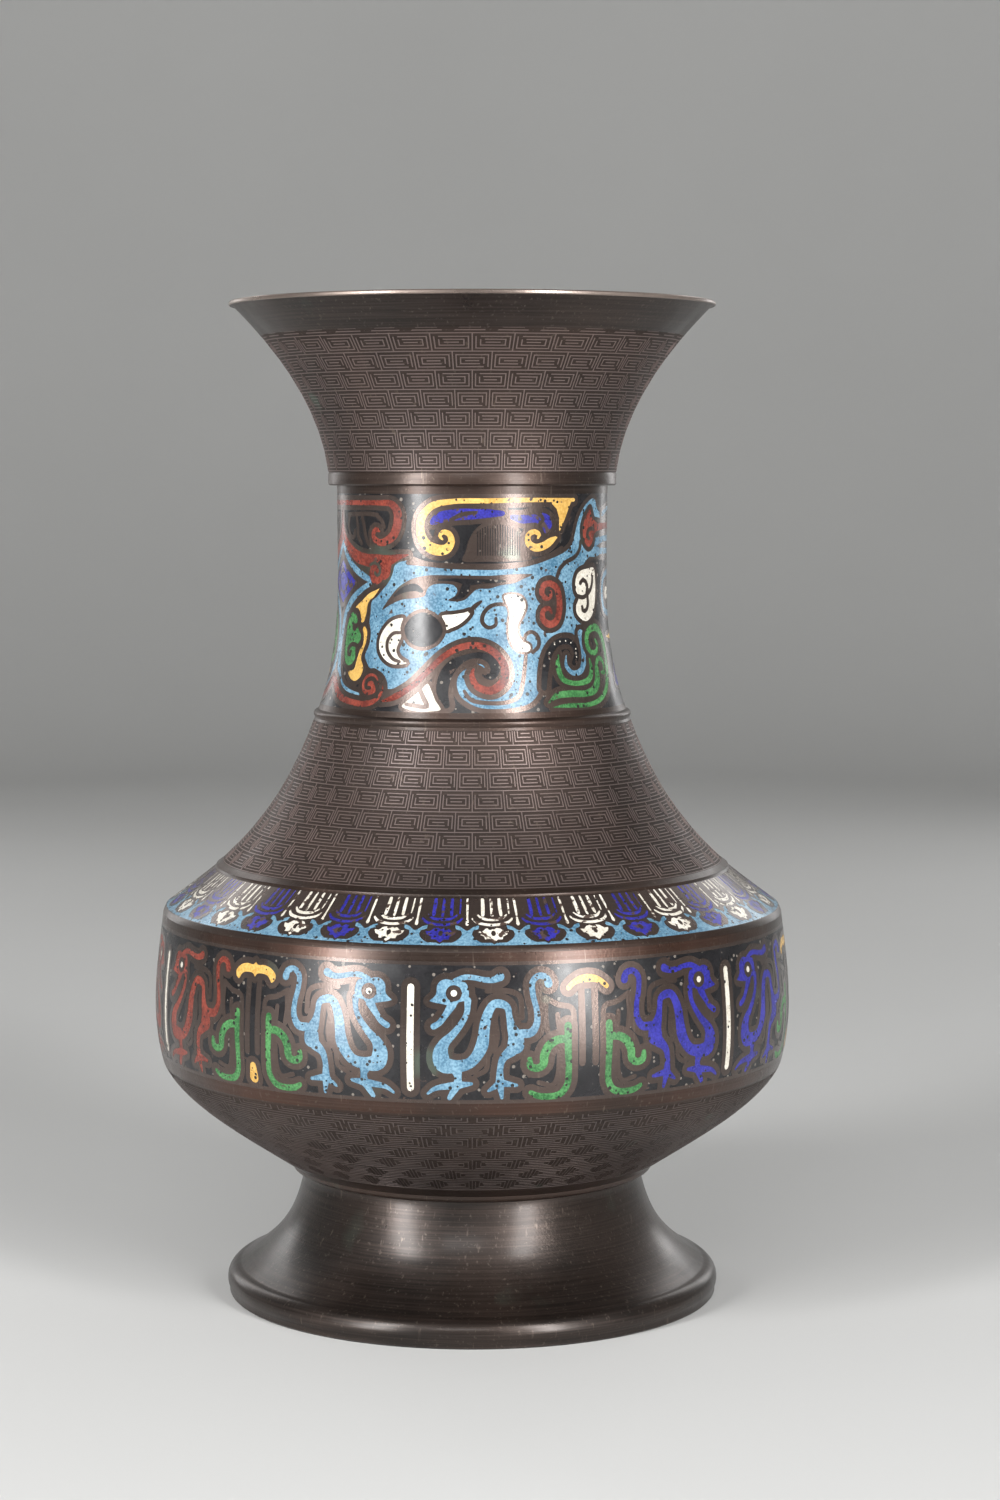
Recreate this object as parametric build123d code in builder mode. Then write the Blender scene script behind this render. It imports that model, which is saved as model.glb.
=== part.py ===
"""Archaic-form bronze vase with champleve enamel, in millimetres, +Z up, standing on z = 0.

Six ring castings stand one on another and are soldered at lapped seams, a plate closes
the foot, and each enamel fills cells that are sunk in the bronze and ground off flush.
"""
from build123d import *
from math import atan2, cos, degrees, hypot, pi, radians, sin
import os

os.makedirs("parts", exist_ok=True)

# Walls, seams and cells
wall = 2.6
lap = 3.0
cell_depth = 0.8
tool_overrun = 3.0

# Foot
foot_ring_radius = 75.2
foot_lip_radius = 76.3
foot_lip_height = 9.0
foot_lip_crease_radius = 72.0
foot_neck_radius = 52.4
foot_collar_height = 2.0
foot_height = 38.5
foot_low_slope = -1.65
foot_top_slope = -0.25

# Base plate
plate_radius = 69.0
plate_thickness = 2.0
plate_recess = 6.5

# Bowl
bowl_bead_radius = 54.5
bowl_bead_height = 2.1
bowl_foot_radius = 56.2
bowl_height = 34.6
bowl_low_slope = 1.5
bowl_top_slope = 0.42

# Drum
drum_low_radius = 95.7
drum_top_radius = 95.4
drum_height = 46.1
drum_low_slope = 0.28
drum_top_slope = -0.12
frieze_low_edge = 3.3
frieze_top_edge = 2.4

# Slope and shoulder
arris_height = 1.8
slope_low_radius = 94.6
slope_top_radius = 79.3
slope_height = 11.6
slope_hollow = 0.06
shoulder_low_radius = 77.3
shoulder_band = 2.0
shoulder_height = 44.1
shoulder_low_slope = -1.1
shoulder_top_radius = 48.5
shoulder_top_slope = -0.38
drum_lip_height = 2.2

# Neck
ridge_height = 2.6
ridge_stand = 0.9
ridge_lap = 1.5
neck_low_radius = 47.4
neck_low_slope = -0.37
neck_waist_radius = 41.3
neck_flare_height = 40.7
neck_height = 70.9
neck_head_radius = 41.5
neck_head_slope = 0.012
neck_frieze_drop = 3.0
neck_frieze_rise = 1.5

# Mouth
collar_radius = 44.15
collar_height = 4.0
mouth_height = 55.6
rim_radius = 74.2
rim_edge = 1.3
rim_under_radius = 72.9
mouth_low_slope = 0.12
mouth_top_slope = 1.0

# Heights of the seams above the ground
bowl_seam = foot_height
drum_seam = bowl_seam + bowl_height
slope_seam = drum_seam + drum_height
slope_base = slope_seam + arris_height
slope_top = slope_base + slope_height
shoulder_base = slope_top + shoulder_band
neck_seam = shoulder_base + shoulder_height
ridge_top = neck_seam + ridge_height
mouth_seam = neck_seam + neck_height
rim_top = mouth_seam + mouth_height

# Enamel patterns: counts and the angle of the mask's nose and of the first birds, seen
# from the front, where the front is -Y and angles grow towards +X
lappet_count = 38
lappet_angle = 3.8
panel_count = 6
first_bar_angle = -10.3
mask_angle = -71.1

# Belly outlines: shares of half a panel's width from its bar, and of the frieze's height
bird_shares = [
    (0.10, 0.72), (0.15, 0.87), (0.48, 0.91), (0.49, 0.87), (0.32, 0.86), (0.33, 0.73),
    (0.31, 0.60), (0.22, 0.41), (0.30, 0.32), (0.36, 0.40), (0.40, 0.65), (0.46, 0.74),
    (0.53, 0.73), (0.56, 0.54), (0.66, 0.53), (0.66, 0.84), (0.70, 0.91), (0.78, 0.89),
    (0.71, 0.85), (0.70, 0.50), (0.52, 0.33), (0.52, 0.18), (0.58, 0.13), (0.50, 0.04),
    (0.43, 0.10), (0.48, 0.18), (0.48, 0.37), (0.52, 0.66), (0.47, 0.68), (0.43, 0.40),
    (0.37, 0.28), (0.29, 0.23), (0.34, 0.14), (0.22, 0.04), (0.10, 0.07), (0.24, 0.14),
    (0.14, 0.23), (0.12, 0.36), (0.26, 0.58), (0.27, 0.70), (0.16, 0.54), (0.12, 0.55),
    (0.17, 0.69),
]
bar_shares = [(-0.018, 0.09), (0.018, 0.09), (0.018, 0.85), (-0.018, 0.85)]
bar_ground_shares = [(0.047, 0.26), (0.082, 0.26), (0.082, 0.51), (0.047, 0.51)]
loop_ground_shares = [(0.27, 0.42), (0.32, 0.42), (0.355, 0.60), (0.335, 0.58)]

# Outlines at the middle of a panel: shares of half a panel's width from the middle
cap_shares = [
    (-0.16, 0.82), (-0.12, 0.89), (0, 0.92), (0.12, 0.89), (0.16, 0.82), (0.13, 0.77),
    (0.07, 0.84), (0, 0.81), (-0.07, 0.84), (-0.13, 0.77),
]
scroll_shares = [
    (0.10, 0.55), (0.14, 0.55), (0.14, 0.48), (0.21, 0.47), (0.27, 0.40), (0.285, 0.29),
    (0.325, 0.34), (0.36, 0.30), (0.32, 0.23), (0.255, 0.23), (0.23, 0.36), (0.19, 0.41),
    (0.14, 0.41), (0.14, 0.14), (0.18, 0.09), (0.325, 0.09), (0.305, 0.03), (0.16, 0.03),
    (0.10, 0.10),
]
drop_shares = [(-0.03, 0.05), (0.03, 0.05), (0.024, 0.19), (-0.024, 0.19)]

# Lappet outlines: shares of one lappet's width from its middle, and of the slope's length
lobe_shares = [(0, 0.09), (0.2, 0.2), (0.33, 0.5), (0, 0.38), (-0.33, 0.5), (-0.2, 0.2)]
scallop_shares = [(-0.36, 0.02), (0.36, 0.02), (0.06, 0.32), (-0.06, 0.32)]

# Mask outlines: shares of the half girth from the mask's nose, and of the frieze's height
neck_shares = {
    "red": [
        [(0.006, 0.98), (0.21, 0.98), (0.232, 0.94), (0.229, 0.84), (0.206, 0.77),
         (0.167, 0.75), (0.138, 0.78), (0.14, 0.84), (0.166, 0.86), (0.182, 0.82),
         (0.199, 0.87), (0.188, 0.95), (0.006, 0.95)],
        [(0.006, 0.92), (0.017, 0.92), (0.02, 0.83), (0.054, 0.77), (0.107, 0.73),
         (0.245, 0.73), (0.2, 0.62), (0.172, 0.585), (0.143, 0.585), (0.123, 0.67),
         (0.06, 0.71), (0.006, 0.81)],
        [(0.2, 0.062), (0.236, 0.1), (0.314, 0.25), (0.365, 0.32), (0.411, 0.33),
         (0.45, 0.285), (0.47, 0.19), (0.452, 0.11), (0.414, 0.09), (0.39, 0.145),
         (0.396, 0.21), (0.416, 0.135), (0.45, 0.15), (0.455, 0.21), (0.433, 0.27),
         (0.376, 0.29), (0.33, 0.235), (0.276, 0.115), (0.239, 0.05)],
        [(0.133, 0.145), (0.158, 0.18), (0.182, 0.135), (0.18, 0.07), (0.165, 0.02),
         (0.084, 0.015), (0.006, 0.09), (0.006, 0.145), (0.055, 0.075), (0.12, 0.045)],
        [(0.557, 0.565), (0.58, 0.61), (0.607, 0.59), (0.614, 0.505), (0.607, 0.415),
         (0.583, 0.39), (0.558, 0.425), (0.56, 0.485), (0.575, 0.51)],
        [(0.728, 0.915), (0.708, 0.885), (0.694, 0.82), (0.706, 0.76), (0.732, 0.76),
         (0.758, 0.815), (0.859, 0.83), (0.859, 0.875), (0.755, 0.88)],
    ],
    "turquoise": [
        [(0.006, 0.77), (0.1, 0.64), (0.114, 0.59), (0.089, 0.54), (0.041, 0.467),
         (0.022, 0.317), (0.032, 0.182), (0.066, 0.12), (0.115, 0.1), (0.115, 0.072),
         (0.061, 0.096), (0.015, 0.157), (0.006, 0.317), (0.021, 0.48), (0.092, 0.59),
         (0.006, 0.72)],
        [(0.137, 0.5), (0.134, 0.255), (0.173, 0.195), (0.2, 0.12), (0.227, 0.125),
         (0.304, 0.28), (0.272, 0.28), (0.238, 0.207), (0.192, 0.21), (0.159, 0.295),
         (0.16, 0.37), (0.19, 0.445), (0.222, 0.467), (0.163, 0.545)],
        [(0.236, 0.66), (0.262, 0.7), (0.291, 0.665), (0.506, 0.66), (0.557, 0.685),
         (0.617, 0.73), (0.587, 0.636), (0.291, 0.644), (0.222, 0.6)],
        [(0.445, 0.545), (0.541, 0.592), (0.544, 0.404), (0.526, 0.113), (0.498, 0.038),
         (0.422, 0.011), (0.386, 0.031), (0.363, 0.097), (0.374, 0.155), (0.408, 0.072),
         (0.452, 0.075), (0.48, 0.144), (0.478, 0.254), (0.448, 0.326), (0.386, 0.392)],
        [(0.628, 0.724), (0.686, 0.959), (0.713, 0.992), (0.744, 0.992), (0.782, 0.92),
         (0.859, 0.94), (0.859, 0.915), (0.782, 0.892), (0.722, 0.956), (0.676, 0.84),
         (0.66, 0.727), (0.638, 0.702)],
        [(0.787, 0.536), (0.808, 0.63), (0.994, 0.649), (0.994, 0.614), (0.83, 0.6),
         (0.82, 0.536), (0.83, 0.474), (0.994, 0.461), (0.994, 0.426), (0.808, 0.445)],
    ],
    "yellow": [
        [(0.164, 0.571), (0.127, 0.552), (0.075, 0.476), (0.097, 0.442), (0.11, 0.348),
         (0.092, 0.197), (0.069, 0.179), (0.087, 0.138), (0.112, 0.135), (0.127, 0.188),
         (0.115, 0.254), (0.126, 0.332), (0.115, 0.411), (0.124, 0.498)],
        [(0.65, 0.992), (0.304, 0.992), (0.273, 0.934), (0.266, 0.834), (0.287, 0.746),
         (0.325, 0.724), (0.356, 0.771), (0.347, 0.84), (0.317, 0.834), (0.319, 0.787),
         (0.288, 0.871), (0.302, 0.934), (0.33, 0.962), (0.587, 0.962), (0.609, 0.834)],
        [(0.601, 0.812), (0.564, 0.746), (0.535, 0.74), (0.515, 0.787), (0.526, 0.837),
         (0.551, 0.828), (0.548, 0.784), (0.578, 0.821)],
        [(0.813, 0.325), (0.844, 0.345), (0.994, 0.345), (0.994, 0.307), (0.844, 0.307)],
    ],
    "blue": [
        [(0.298, 0.875), (0.313, 0.931), (0.337, 0.946), (0.429, 0.944), (0.383, 0.89),
         (0.31, 0.86)],
        [(0.506, 0.944), (0.574, 0.944), (0.588, 0.893), (0.578, 0.85), (0.51, 0.866)],
        [(0.821, 0.066), (0.844, 0.238), (0.994, 0.238), (0.994, 0.066)],
    ],
    "green": [
        [(0.032, 0.32), (0.04, 0.408), (0.063, 0.458), (0.086, 0.429), (0.1, 0.345),
         (0.086, 0.245), (0.063, 0.2), (0.038, 0.251)],
        [(0.598, 0.26), (0.596, 0.169), (0.613, 0.113), (0.681, 0.113), (0.707, 0.185),
         (0.699, 0.248), (0.686, 0.172), (0.664, 0.15), (0.621, 0.15), (0.608, 0.204)],
        [(0.555, 0.019), (0.584, 0.082), (0.687, 0.088), (0.722, 0.2), (0.744, 0.236),
         (0.749, 0.194), (0.697, 0.062), (0.667, 0.019)],
        [(0.716, 0.025), (0.752, 0.1), (0.779, 0.216), (0.778, 0.323), (0.741, 0.392),
         (0.704, 0.37), (0.693, 0.307), (0.71, 0.26), (0.744, 0.27), (0.736, 0.342),
         (0.758, 0.313), (0.767, 0.232), (0.745, 0.125)],
    ],
    "white": [
        [(0.23, 0.437), (0.196, 0.426), (0.169, 0.367), (0.168, 0.298), (0.193, 0.232),
         (0.235, 0.221), (0.222, 0.285), (0.224, 0.364)],
        [(0.324, 0.445), (0.391, 0.473), (0.365, 0.408), (0.337, 0.382)],
        [(0.302, 0.138), (0.331, 0.011), (0.288, 0.006), (0.252, 0.02), (0.299, 0.039),
         (0.288, 0.105)],
        [(0.693, 0.658), (0.744, 0.661), (0.752, 0.552), (0.742, 0.464), (0.707, 0.406),
         (0.674, 0.429), (0.664, 0.483), (0.67, 0.614)],
        [(0.844, 0.536), (0.867, 0.577), (0.994, 0.577), (0.994, 0.495), (0.867, 0.495)],
    ],
    "black": [
        [(0.049, 0.89), (0.069, 0.931), (0.178, 0.928), (0.184, 0.884), (0.158, 0.881),
         (0.129, 0.84), (0.129, 0.765), (0.077, 0.777)],
        [(0.335, 0.038), (0.32, 0.121), (0.334, 0.226), (0.38, 0.272), (0.426, 0.25),
         (0.44, 0.185), (0.425, 0.16), (0.411, 0.219), (0.365, 0.226), (0.35, 0.113)],
        [(0.546, 0.107), (0.551, 0.207), (0.567, 0.304), (0.601, 0.342), (0.64, 0.332),
         (0.658, 0.27), (0.649, 0.207), (0.632, 0.223), (0.61, 0.295), (0.583, 0.26),
         (0.567, 0.116)],
        [(0.235, 0.53), (0.262, 0.575), (0.345, 0.615), (0.497, 0.615), (0.43, 0.575),
         (0.392, 0.535), (0.345, 0.565), (0.29, 0.53)],
    ],
}

# The lozenge on the mask's forehead, which crosses its nose line
lozenge_shares = [(0, 0.683), (0.07, 0.591), (0, 0.499), (-0.07, 0.591)]


def inside(point, slope, depth):
    """A point on an outline, moved into the metal by a depth square to the outline."""
    radius, height = point
    step = depth / hypot(1, slope)
    return (radius - step, height + slope * step)


def flow(start, start_slope, end, end_slope):
    """A smooth wall line whose radius grows with height by the slopes at its ends."""
    handle = (end[1] - start[1]) / 3
    Bezier(
        start,
        (start[0] + handle * start_slope, start[1] + handle),
        (end[0] - handle * end_slope, end[1] - handle),
        end,
    )


def radius_along(height, start, start_slope, end, end_slope):
    """The radius of the wall line that flow draws, at a height between its ends."""
    span = end[1] - start[1]
    along = min(max((height - start[1]) / span, 0), 1)
    back = 1 - along
    return (
        back * back * (1 + 2 * along) * start[0] + along * back * back * span * start_slope
        + along * along * (1 + 2 * back) * end[0] - back * along * along * span * end_slope
    )


def face_plane(angle, distance, height=0.0, lean=0.0):
    """A plane outside the vase that faces away from its axis, leaning back by an angle."""
    across = Vector(cos(radians(angle)), sin(radians(angle)), 0)
    outward = Vector(sin(radians(angle)), -cos(radians(angle)), 0)
    origin = outward * distance + Vector(0, 0, height)
    return Plane(origin=origin, x_dir=across, z_dir=outward * cos(lean) + Vector(0, 0, sin(lean)))


def ring_of(shape, turns):
    """Copies of a shape round the vase's axis, one at each turn in degrees."""
    with BuildPart() as ring:
        with Locations(*[Rotation(0, 0, turn) for turn in turns]):
            add(shape.part)
    return ring


def fill(cutter, blank):
    """Enamel that fills a cutter's cells and is ground off flush with the bronze."""
    with BuildPart() as enamel:
        add(cutter.part)
        add(blank.part, mode=Mode.INTERSECT)
    return enamel


# Where each wall line starts and ends
foot_collar_base = (foot_neck_radius, bowl_seam - foot_collar_height)
foot_crease = (foot_lip_crease_radius, foot_lip_height)
bowl_low = (bowl_foot_radius, bowl_seam + bowl_bead_height)
bowl_top = (drum_low_radius, drum_seam)
drum_top = (drum_top_radius, slope_seam)
slope_low = (slope_low_radius, slope_base)
slope_high = (slope_top_radius, slope_top)
shoulder_low = (shoulder_low_radius, shoulder_base)
shoulder_top = (shoulder_top_radius, neck_seam)
neck_low = (neck_low_radius, ridge_top)
neck_waist = (neck_waist_radius, ridge_top + neck_flare_height)
neck_head = (neck_head_radius, mouth_seam)
mouth_low = (collar_radius, mouth_seam + collar_height)
mouth_top = (rim_under_radius, rim_top - rim_edge)

slope_lean = (slope_top_radius - slope_low_radius) / slope_height
slope_low_lean = slope_lean * (1 + slope_hollow)
slope_high_lean = slope_lean * (1 - slope_hollow)
slope_length = hypot(slope_top_radius - slope_low_radius, slope_height)
neck_bore_radius = neck_waist_radius - wall
foot_ledge_height = plate_recess + plate_thickness
drum_spigot_radius = drum_low_radius - wall / 2
neck_spigot_radius = shoulder_top_radius - wall / 2
foot_spigot_radius = foot_neck_radius - wall / 2
bowl_bore_radius = foot_spigot_radius - wall

# Foot: a flared ring with a rolled lip, a ledge for the plate and a socket for the bowl
foot_inner_low = (plate_radius - wall / 2, foot_ledge_height)
foot_inner_top = (bowl_bore_radius + wall / 2, bowl_seam - lap)
with BuildPart() as foot:
    with BuildSketch(Plane.XZ):
        with BuildLine():
            Line((foot_spigot_radius, bowl_seam), (foot_neck_radius, bowl_seam))
            Line((foot_neck_radius, bowl_seam), foot_collar_base)
            flow(foot_crease, foot_low_slope, foot_collar_base, foot_top_slope)
            ThreePointArc(foot_crease, (foot_lip_radius, foot_lip_height * 0.45),
                          (foot_ring_radius, 0))
            Line((foot_ring_radius, 0), (plate_radius, 0))
            Line((plate_radius, 0), (plate_radius, foot_ledge_height))
            Line((plate_radius, foot_ledge_height), foot_inner_low)
            flow(foot_inner_low, foot_low_slope, foot_inner_top, foot_top_slope)
            Line(foot_inner_top, (foot_spigot_radius, foot_inner_top[1]))
            Line((foot_spigot_radius, foot_inner_top[1]), (foot_spigot_radius, bowl_seam))
        make_face()
    revolve(axis=Axis.Z)
foot.part.label = "foot"

# Base plate: a disc let into the foot from below and seated on its ledge
with BuildPart() as base_plate:
    with BuildSketch(Plane.XY.offset(plate_recess)):
        Circle(plate_radius)
    extrude(amount=plate_thickness)
base_plate.part.label = "base_plate"

# Bowl: the spreading lower body, with a bead over the foot and a spigot at each end
bowl_inner_low = inside(bowl_low, bowl_low_slope, wall)
bowl_inner_top = inside(bowl_top, bowl_top_slope, wall)
with BuildPart() as bowl:
    with BuildSketch(Plane.XZ):
        with BuildLine():
            Polyline((bowl_bore_radius, bowl_seam - lap), (foot_spigot_radius, bowl_seam - lap),
                     (foot_spigot_radius, bowl_seam), (bowl_bead_radius, bowl_seam))
            ThreePointArc((bowl_bead_radius, bowl_seam),
                          (bowl_bead_radius + bowl_bead_height / 2,
                           bowl_seam + bowl_bead_height / 2),
                          bowl_low)
            flow(bowl_low, bowl_low_slope, bowl_top, bowl_top_slope)
            Polyline(bowl_top, (drum_spigot_radius, drum_seam),
                     (drum_spigot_radius, drum_seam + lap),
                     (bowl_inner_top[0], drum_seam + lap), bowl_inner_top)
            flow(bowl_inner_low, bowl_low_slope, bowl_inner_top, bowl_top_slope)
            Polyline(bowl_inner_low, (bowl_bore_radius, bowl_low[1]),
                     (bowl_bore_radius, bowl_seam - lap))
        make_face()
    revolve(axis=Axis.Z)
bowl.part.label = "bowl"

# Drum: the enamelled belly, with a socket below and a coned lip that centres the shoulder
drum_inner_low = (bowl_inner_top[0], drum_seam + lap)
drum_flange_base = slope_seam - wall
drum_inner_top = (drum_top_radius - wall, drum_flange_base - wall)
seat_outer = inside(slope_low, slope_lean, wall)
seat_radius = seat_outer[0] + (slope_seam - seat_outer[1]) * slope_lean
lip_top_radius = seat_radius + drum_lip_height * slope_lean
lip_bore_radius = lip_top_radius - wall / 2


with BuildPart() as drum_blank:
    with BuildSketch(Plane.XZ):
        with BuildLine():
            Line((drum_spigot_radius, drum_seam), bowl_top)
            flow(bowl_top, drum_low_slope, drum_top, drum_top_slope)
            Polyline(drum_top, (seat_radius, slope_seam),
                     (lip_top_radius, slope_seam + drum_lip_height),
                     (lip_bore_radius, slope_seam + drum_lip_height),
                     (lip_bore_radius, drum_flange_base), drum_inner_top)
            flow(drum_inner_low, drum_low_slope, drum_inner_top, drum_top_slope)
            Polyline(drum_inner_low, (drum_spigot_radius, drum_inner_low[1]),
                     (drum_spigot_radius, drum_seam))
        make_face()
    revolve(axis=Axis.Z)

# What the graver may reach on the drum: all that is outside the floor of the cells
frieze_base = drum_seam + frieze_low_edge
frieze_height = drum_height - frieze_low_edge - frieze_top_edge
drum_floor_low = inside(bowl_top, drum_low_slope, cell_depth)
drum_floor_top = inside(drum_top, drum_top_slope, cell_depth)
drum_reach = drum_low_radius + tool_overrun
with BuildPart() as drum_cutting:
    with BuildSketch(Plane.XZ):
        with BuildLine():
            flow(drum_floor_low, drum_low_slope, drum_floor_top, drum_top_slope)
            Polyline(drum_floor_top, (drum_reach + cell_depth, drum_floor_top[1]),
                     (drum_reach + cell_depth, drum_floor_low[1]), drum_floor_low)
        make_face()
    revolve(axis=Axis.Z)


def belly_cutter(shares, from_middle=False, mirrored=True):
    """The cells of one outline about the first bar, or about a panel's middle."""
    half_panel = pi / panel_count
    start = half_panel if from_middle else 0
    angles = [share * half_panel for share, _ in shares]
    middle = (min(angles) + max(angles)) / 2
    with BuildPart() as cutter:
        for side in (1, -1) if mirrored else (1,):
            turn = degrees(side * middle + start)
            with BuildSketch(face_plane(turn, drum_reach, frieze_base)):
                with BuildLine():
                    Polyline(*[(side * drum_low_radius * sin(angle - middle),
                                up * frieze_height)
                               for angle, (_, up) in zip(angles, shares)], close=True)
                make_face()
            extrude(amount=-2 * tool_overrun - drum_low_radius / 2)
        add(drum_cutting.part, mode=Mode.INTERSECT)
    return cutter


bar_turns = [first_bar_angle + turn * 360 / panel_count for turn in range(panel_count)]
bird_cutter = belly_cutter(bird_shares)
bird_fill = fill(bird_cutter, drum_blank)
birds_turquoise = ring_of(bird_fill, bar_turns[0::3])
birds_turquoise.part.label = "birds_turquoise"
birds_blue = ring_of(bird_fill, bar_turns[1::3])
birds_blue.part.label = "birds_blue"
birds_red = ring_of(bird_fill, bar_turns[2::3])
birds_red.part.label = "birds_red"

bar_cutter = belly_cutter(bar_shares, mirrored=False)
panel_bars_white = ring_of(fill(bar_cutter, drum_blank), bar_turns)
panel_bars_white.part.label = "panel_bars_white"
cap_cutter = belly_cutter(cap_shares, from_middle=True, mirrored=False)
caps_yellow = ring_of(fill(cap_cutter, drum_blank), bar_turns)
caps_yellow.part.label = "caps_yellow"
scroll_cutter = belly_cutter(scroll_shares, from_middle=True)
scrolls_green = ring_of(fill(scroll_cutter, drum_blank), bar_turns)
scrolls_green.part.label = "scrolls_green"
drop_cutter = belly_cutter(drop_shares, from_middle=True, mirrored=False)
drops_yellow = ring_of(fill(drop_cutter, drum_blank), bar_turns)
drops_yellow.part.label = "drops_yellow"

bar_ground_cutter = belly_cutter(bar_ground_shares)
loop_ground_cutter = belly_cutter(loop_ground_shares)
with BuildPart() as ground_fill:
    add(fill(bar_ground_cutter, drum_blank).part)
    add(fill(loop_ground_cutter, drum_blank).part)
belly_ground_black = ring_of(ground_fill, bar_turns)
belly_ground_black.part.label = "belly_ground_black"

belly_cutters = [bird_cutter, bar_cutter, cap_cutter, scroll_cutter, drop_cutter,
                 bar_ground_cutter, loop_ground_cutter]
with BuildPart() as drum:
    add(drum_blank.part)
    for cutter in belly_cutters:
        with Locations(*[Rotation(0, 0, turn) for turn in bar_turns]):
            add(cutter.part, mode=Mode.SUBTRACT)
drum.part.label = "drum"

# Shoulder: the coned lappet slope and the hollow-curved shoulder above it
slope_inner_high = inside(slope_high, slope_lean, wall)
shoulder_inner_top = inside(shoulder_top, shoulder_top_slope, wall)
with BuildPart() as shoulder_blank:
    with BuildSketch(Plane.XZ):
        with BuildLine():
            Polyline((seat_radius, slope_seam), drum_top, slope_low)
            flow(slope_low, slope_low_lean, slope_high, slope_high_lean)
            Line(slope_high, shoulder_low)
            flow(shoulder_low, shoulder_low_slope, shoulder_top, shoulder_top_slope)
            Polyline(shoulder_top, (neck_spigot_radius, neck_seam),
                     (neck_spigot_radius, neck_seam + ridge_lap),
                     (shoulder_inner_top[0], neck_seam + ridge_lap), shoulder_inner_top)
            flow(slope_inner_high, shoulder_low_slope, shoulder_inner_top, shoulder_top_slope)
            Line(slope_inner_high, (seat_radius, slope_seam))
        make_face()
    revolve(axis=Axis.Z)

# What the graver may reach on the slope: all that is outside the floor of the cells
slope_angle = atan2(slope_low_radius - slope_top_radius, slope_height)
slope_floor_low = inside(slope_low, slope_lean, cell_depth)
slope_floor_high = inside(slope_high, slope_lean, cell_depth)
slope_reach = (slope_low_radius + tool_overrun, slope_top + tool_overrun)
with BuildPart() as slope_cutting:
    with BuildSketch(Plane.XZ):
        with BuildLine():
            flow(slope_floor_low, slope_low_lean, slope_floor_high, slope_high_lean)
            Polyline(slope_floor_high, (slope_floor_high[0], slope_reach[1]), slope_reach,
                     (slope_reach[0], slope_floor_low[1]), slope_floor_low)
        make_face()
    revolve(axis=Axis.Z)


def lappet_cutter(shares):
    """The cell of one lappet outline, at the front of the slope."""
    girth = 2 * pi * slope_low_radius / lappet_count
    taper = 1 - slope_top_radius / slope_low_radius
    plane = face_plane(0, slope_low_radius, slope_base, slope_angle).offset(tool_overrun)
    with BuildPart() as cutter:
        with BuildSketch(plane):
            with BuildLine():
                Polyline(*[(across * girth * (1 - up * taper), up * slope_length)
                           for across, up in shares], close=True)
            make_face()
        extrude(amount=-3 * tool_overrun)
        add(slope_cutting.part, mode=Mode.INTERSECT)
    return cutter


lappet_turns = [lappet_angle + turn * 360 / lappet_count for turn in range(lappet_count)]
scallop_turns = [turn + 180 / lappet_count for turn in lappet_turns]
lobe_cutter = lappet_cutter(lobe_shares)
lobe_fill = fill(lobe_cutter, shoulder_blank)
lappets_white = ring_of(lobe_fill, lappet_turns[0::2])
lappets_white.part.label = "lappets_white"
lappets_blue = ring_of(lobe_fill, lappet_turns[1::2])
lappets_blue.part.label = "lappets_blue"
scallop_cutter = lappet_cutter(scallop_shares)
scallops_turquoise = ring_of(fill(scallop_cutter, shoulder_blank), scallop_turns)
scallops_turquoise.part.label = "scallops_turquoise"

with BuildPart() as shoulder:
    add(shoulder_blank.part)
    for cutter, turns in ((lobe_cutter, lappet_turns), (scallop_cutter, scallop_turns)):
        with Locations(*[Rotation(0, 0, turn) for turn in turns]):
            add(cutter.part, mode=Mode.SUBTRACT)
shoulder.part.label = "shoulder"

# Neck: a waisted tube with a beaded foot, whose plain top enters the mouth's socket
neck_top = mouth_seam + collar_height
neck_inner_low = inside(neck_low, neck_low_slope, wall)


with BuildPart() as neck_blank:
    with BuildSketch(Plane.XZ):
        with BuildLine():
            Line((neck_spigot_radius, neck_seam), shoulder_top)
            ThreePointArc(shoulder_top,
                          (shoulder_top_radius + ridge_stand, neck_seam + ridge_height / 2),
                          neck_low)
            flow(neck_low, neck_low_slope, neck_waist, 0)
            flow(neck_waist, 0, neck_head, neck_head_slope)
            Polyline(neck_head, (neck_head_radius, neck_top), (neck_bore_radius, neck_top),
                     (neck_bore_radius, neck_waist[1]))
            flow(neck_inner_low, neck_low_slope, (neck_bore_radius, neck_waist[1]), 0)
            Polyline(neck_inner_low, (neck_inner_low[0], neck_seam + ridge_lap),
                     (neck_spigot_radius, neck_seam + ridge_lap),
                     (neck_spigot_radius, neck_seam))
        make_face()
    revolve(axis=Axis.Z)

# What the graver may reach on the neck: all that is outside the floor of the cells
neck_frieze_base = ridge_top + neck_frieze_rise
neck_frieze_height = mouth_seam - neck_frieze_drop - neck_frieze_base
neck_floor_low = inside(neck_low, neck_low_slope, cell_depth)
neck_floor_waist = (neck_waist_radius - cell_depth, neck_waist[1])
neck_floor_head = (neck_head_radius - cell_depth, mouth_seam)
neck_reach = neck_low_radius + tool_overrun
with BuildPart() as neck_cutting:
    with BuildSketch(Plane.XZ):
        with BuildLine():
            flow(neck_floor_low, neck_low_slope, neck_floor_waist, 0)
            flow(neck_floor_waist, 0, neck_floor_head, neck_head_slope)
            Polyline(neck_floor_head, (neck_reach, mouth_seam),
                     (neck_reach, neck_floor_low[1]), neck_floor_low)
        make_face()
    revolve(axis=Axis.Z)


def neck_radius_at(height):
    """The neck's outer radius at a height."""
    if height < neck_waist[1]:
        return radius_along(height, neck_low, neck_low_slope, neck_waist, 0)
    return radius_along(height, neck_waist, 0, neck_head, neck_head_slope)


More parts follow.
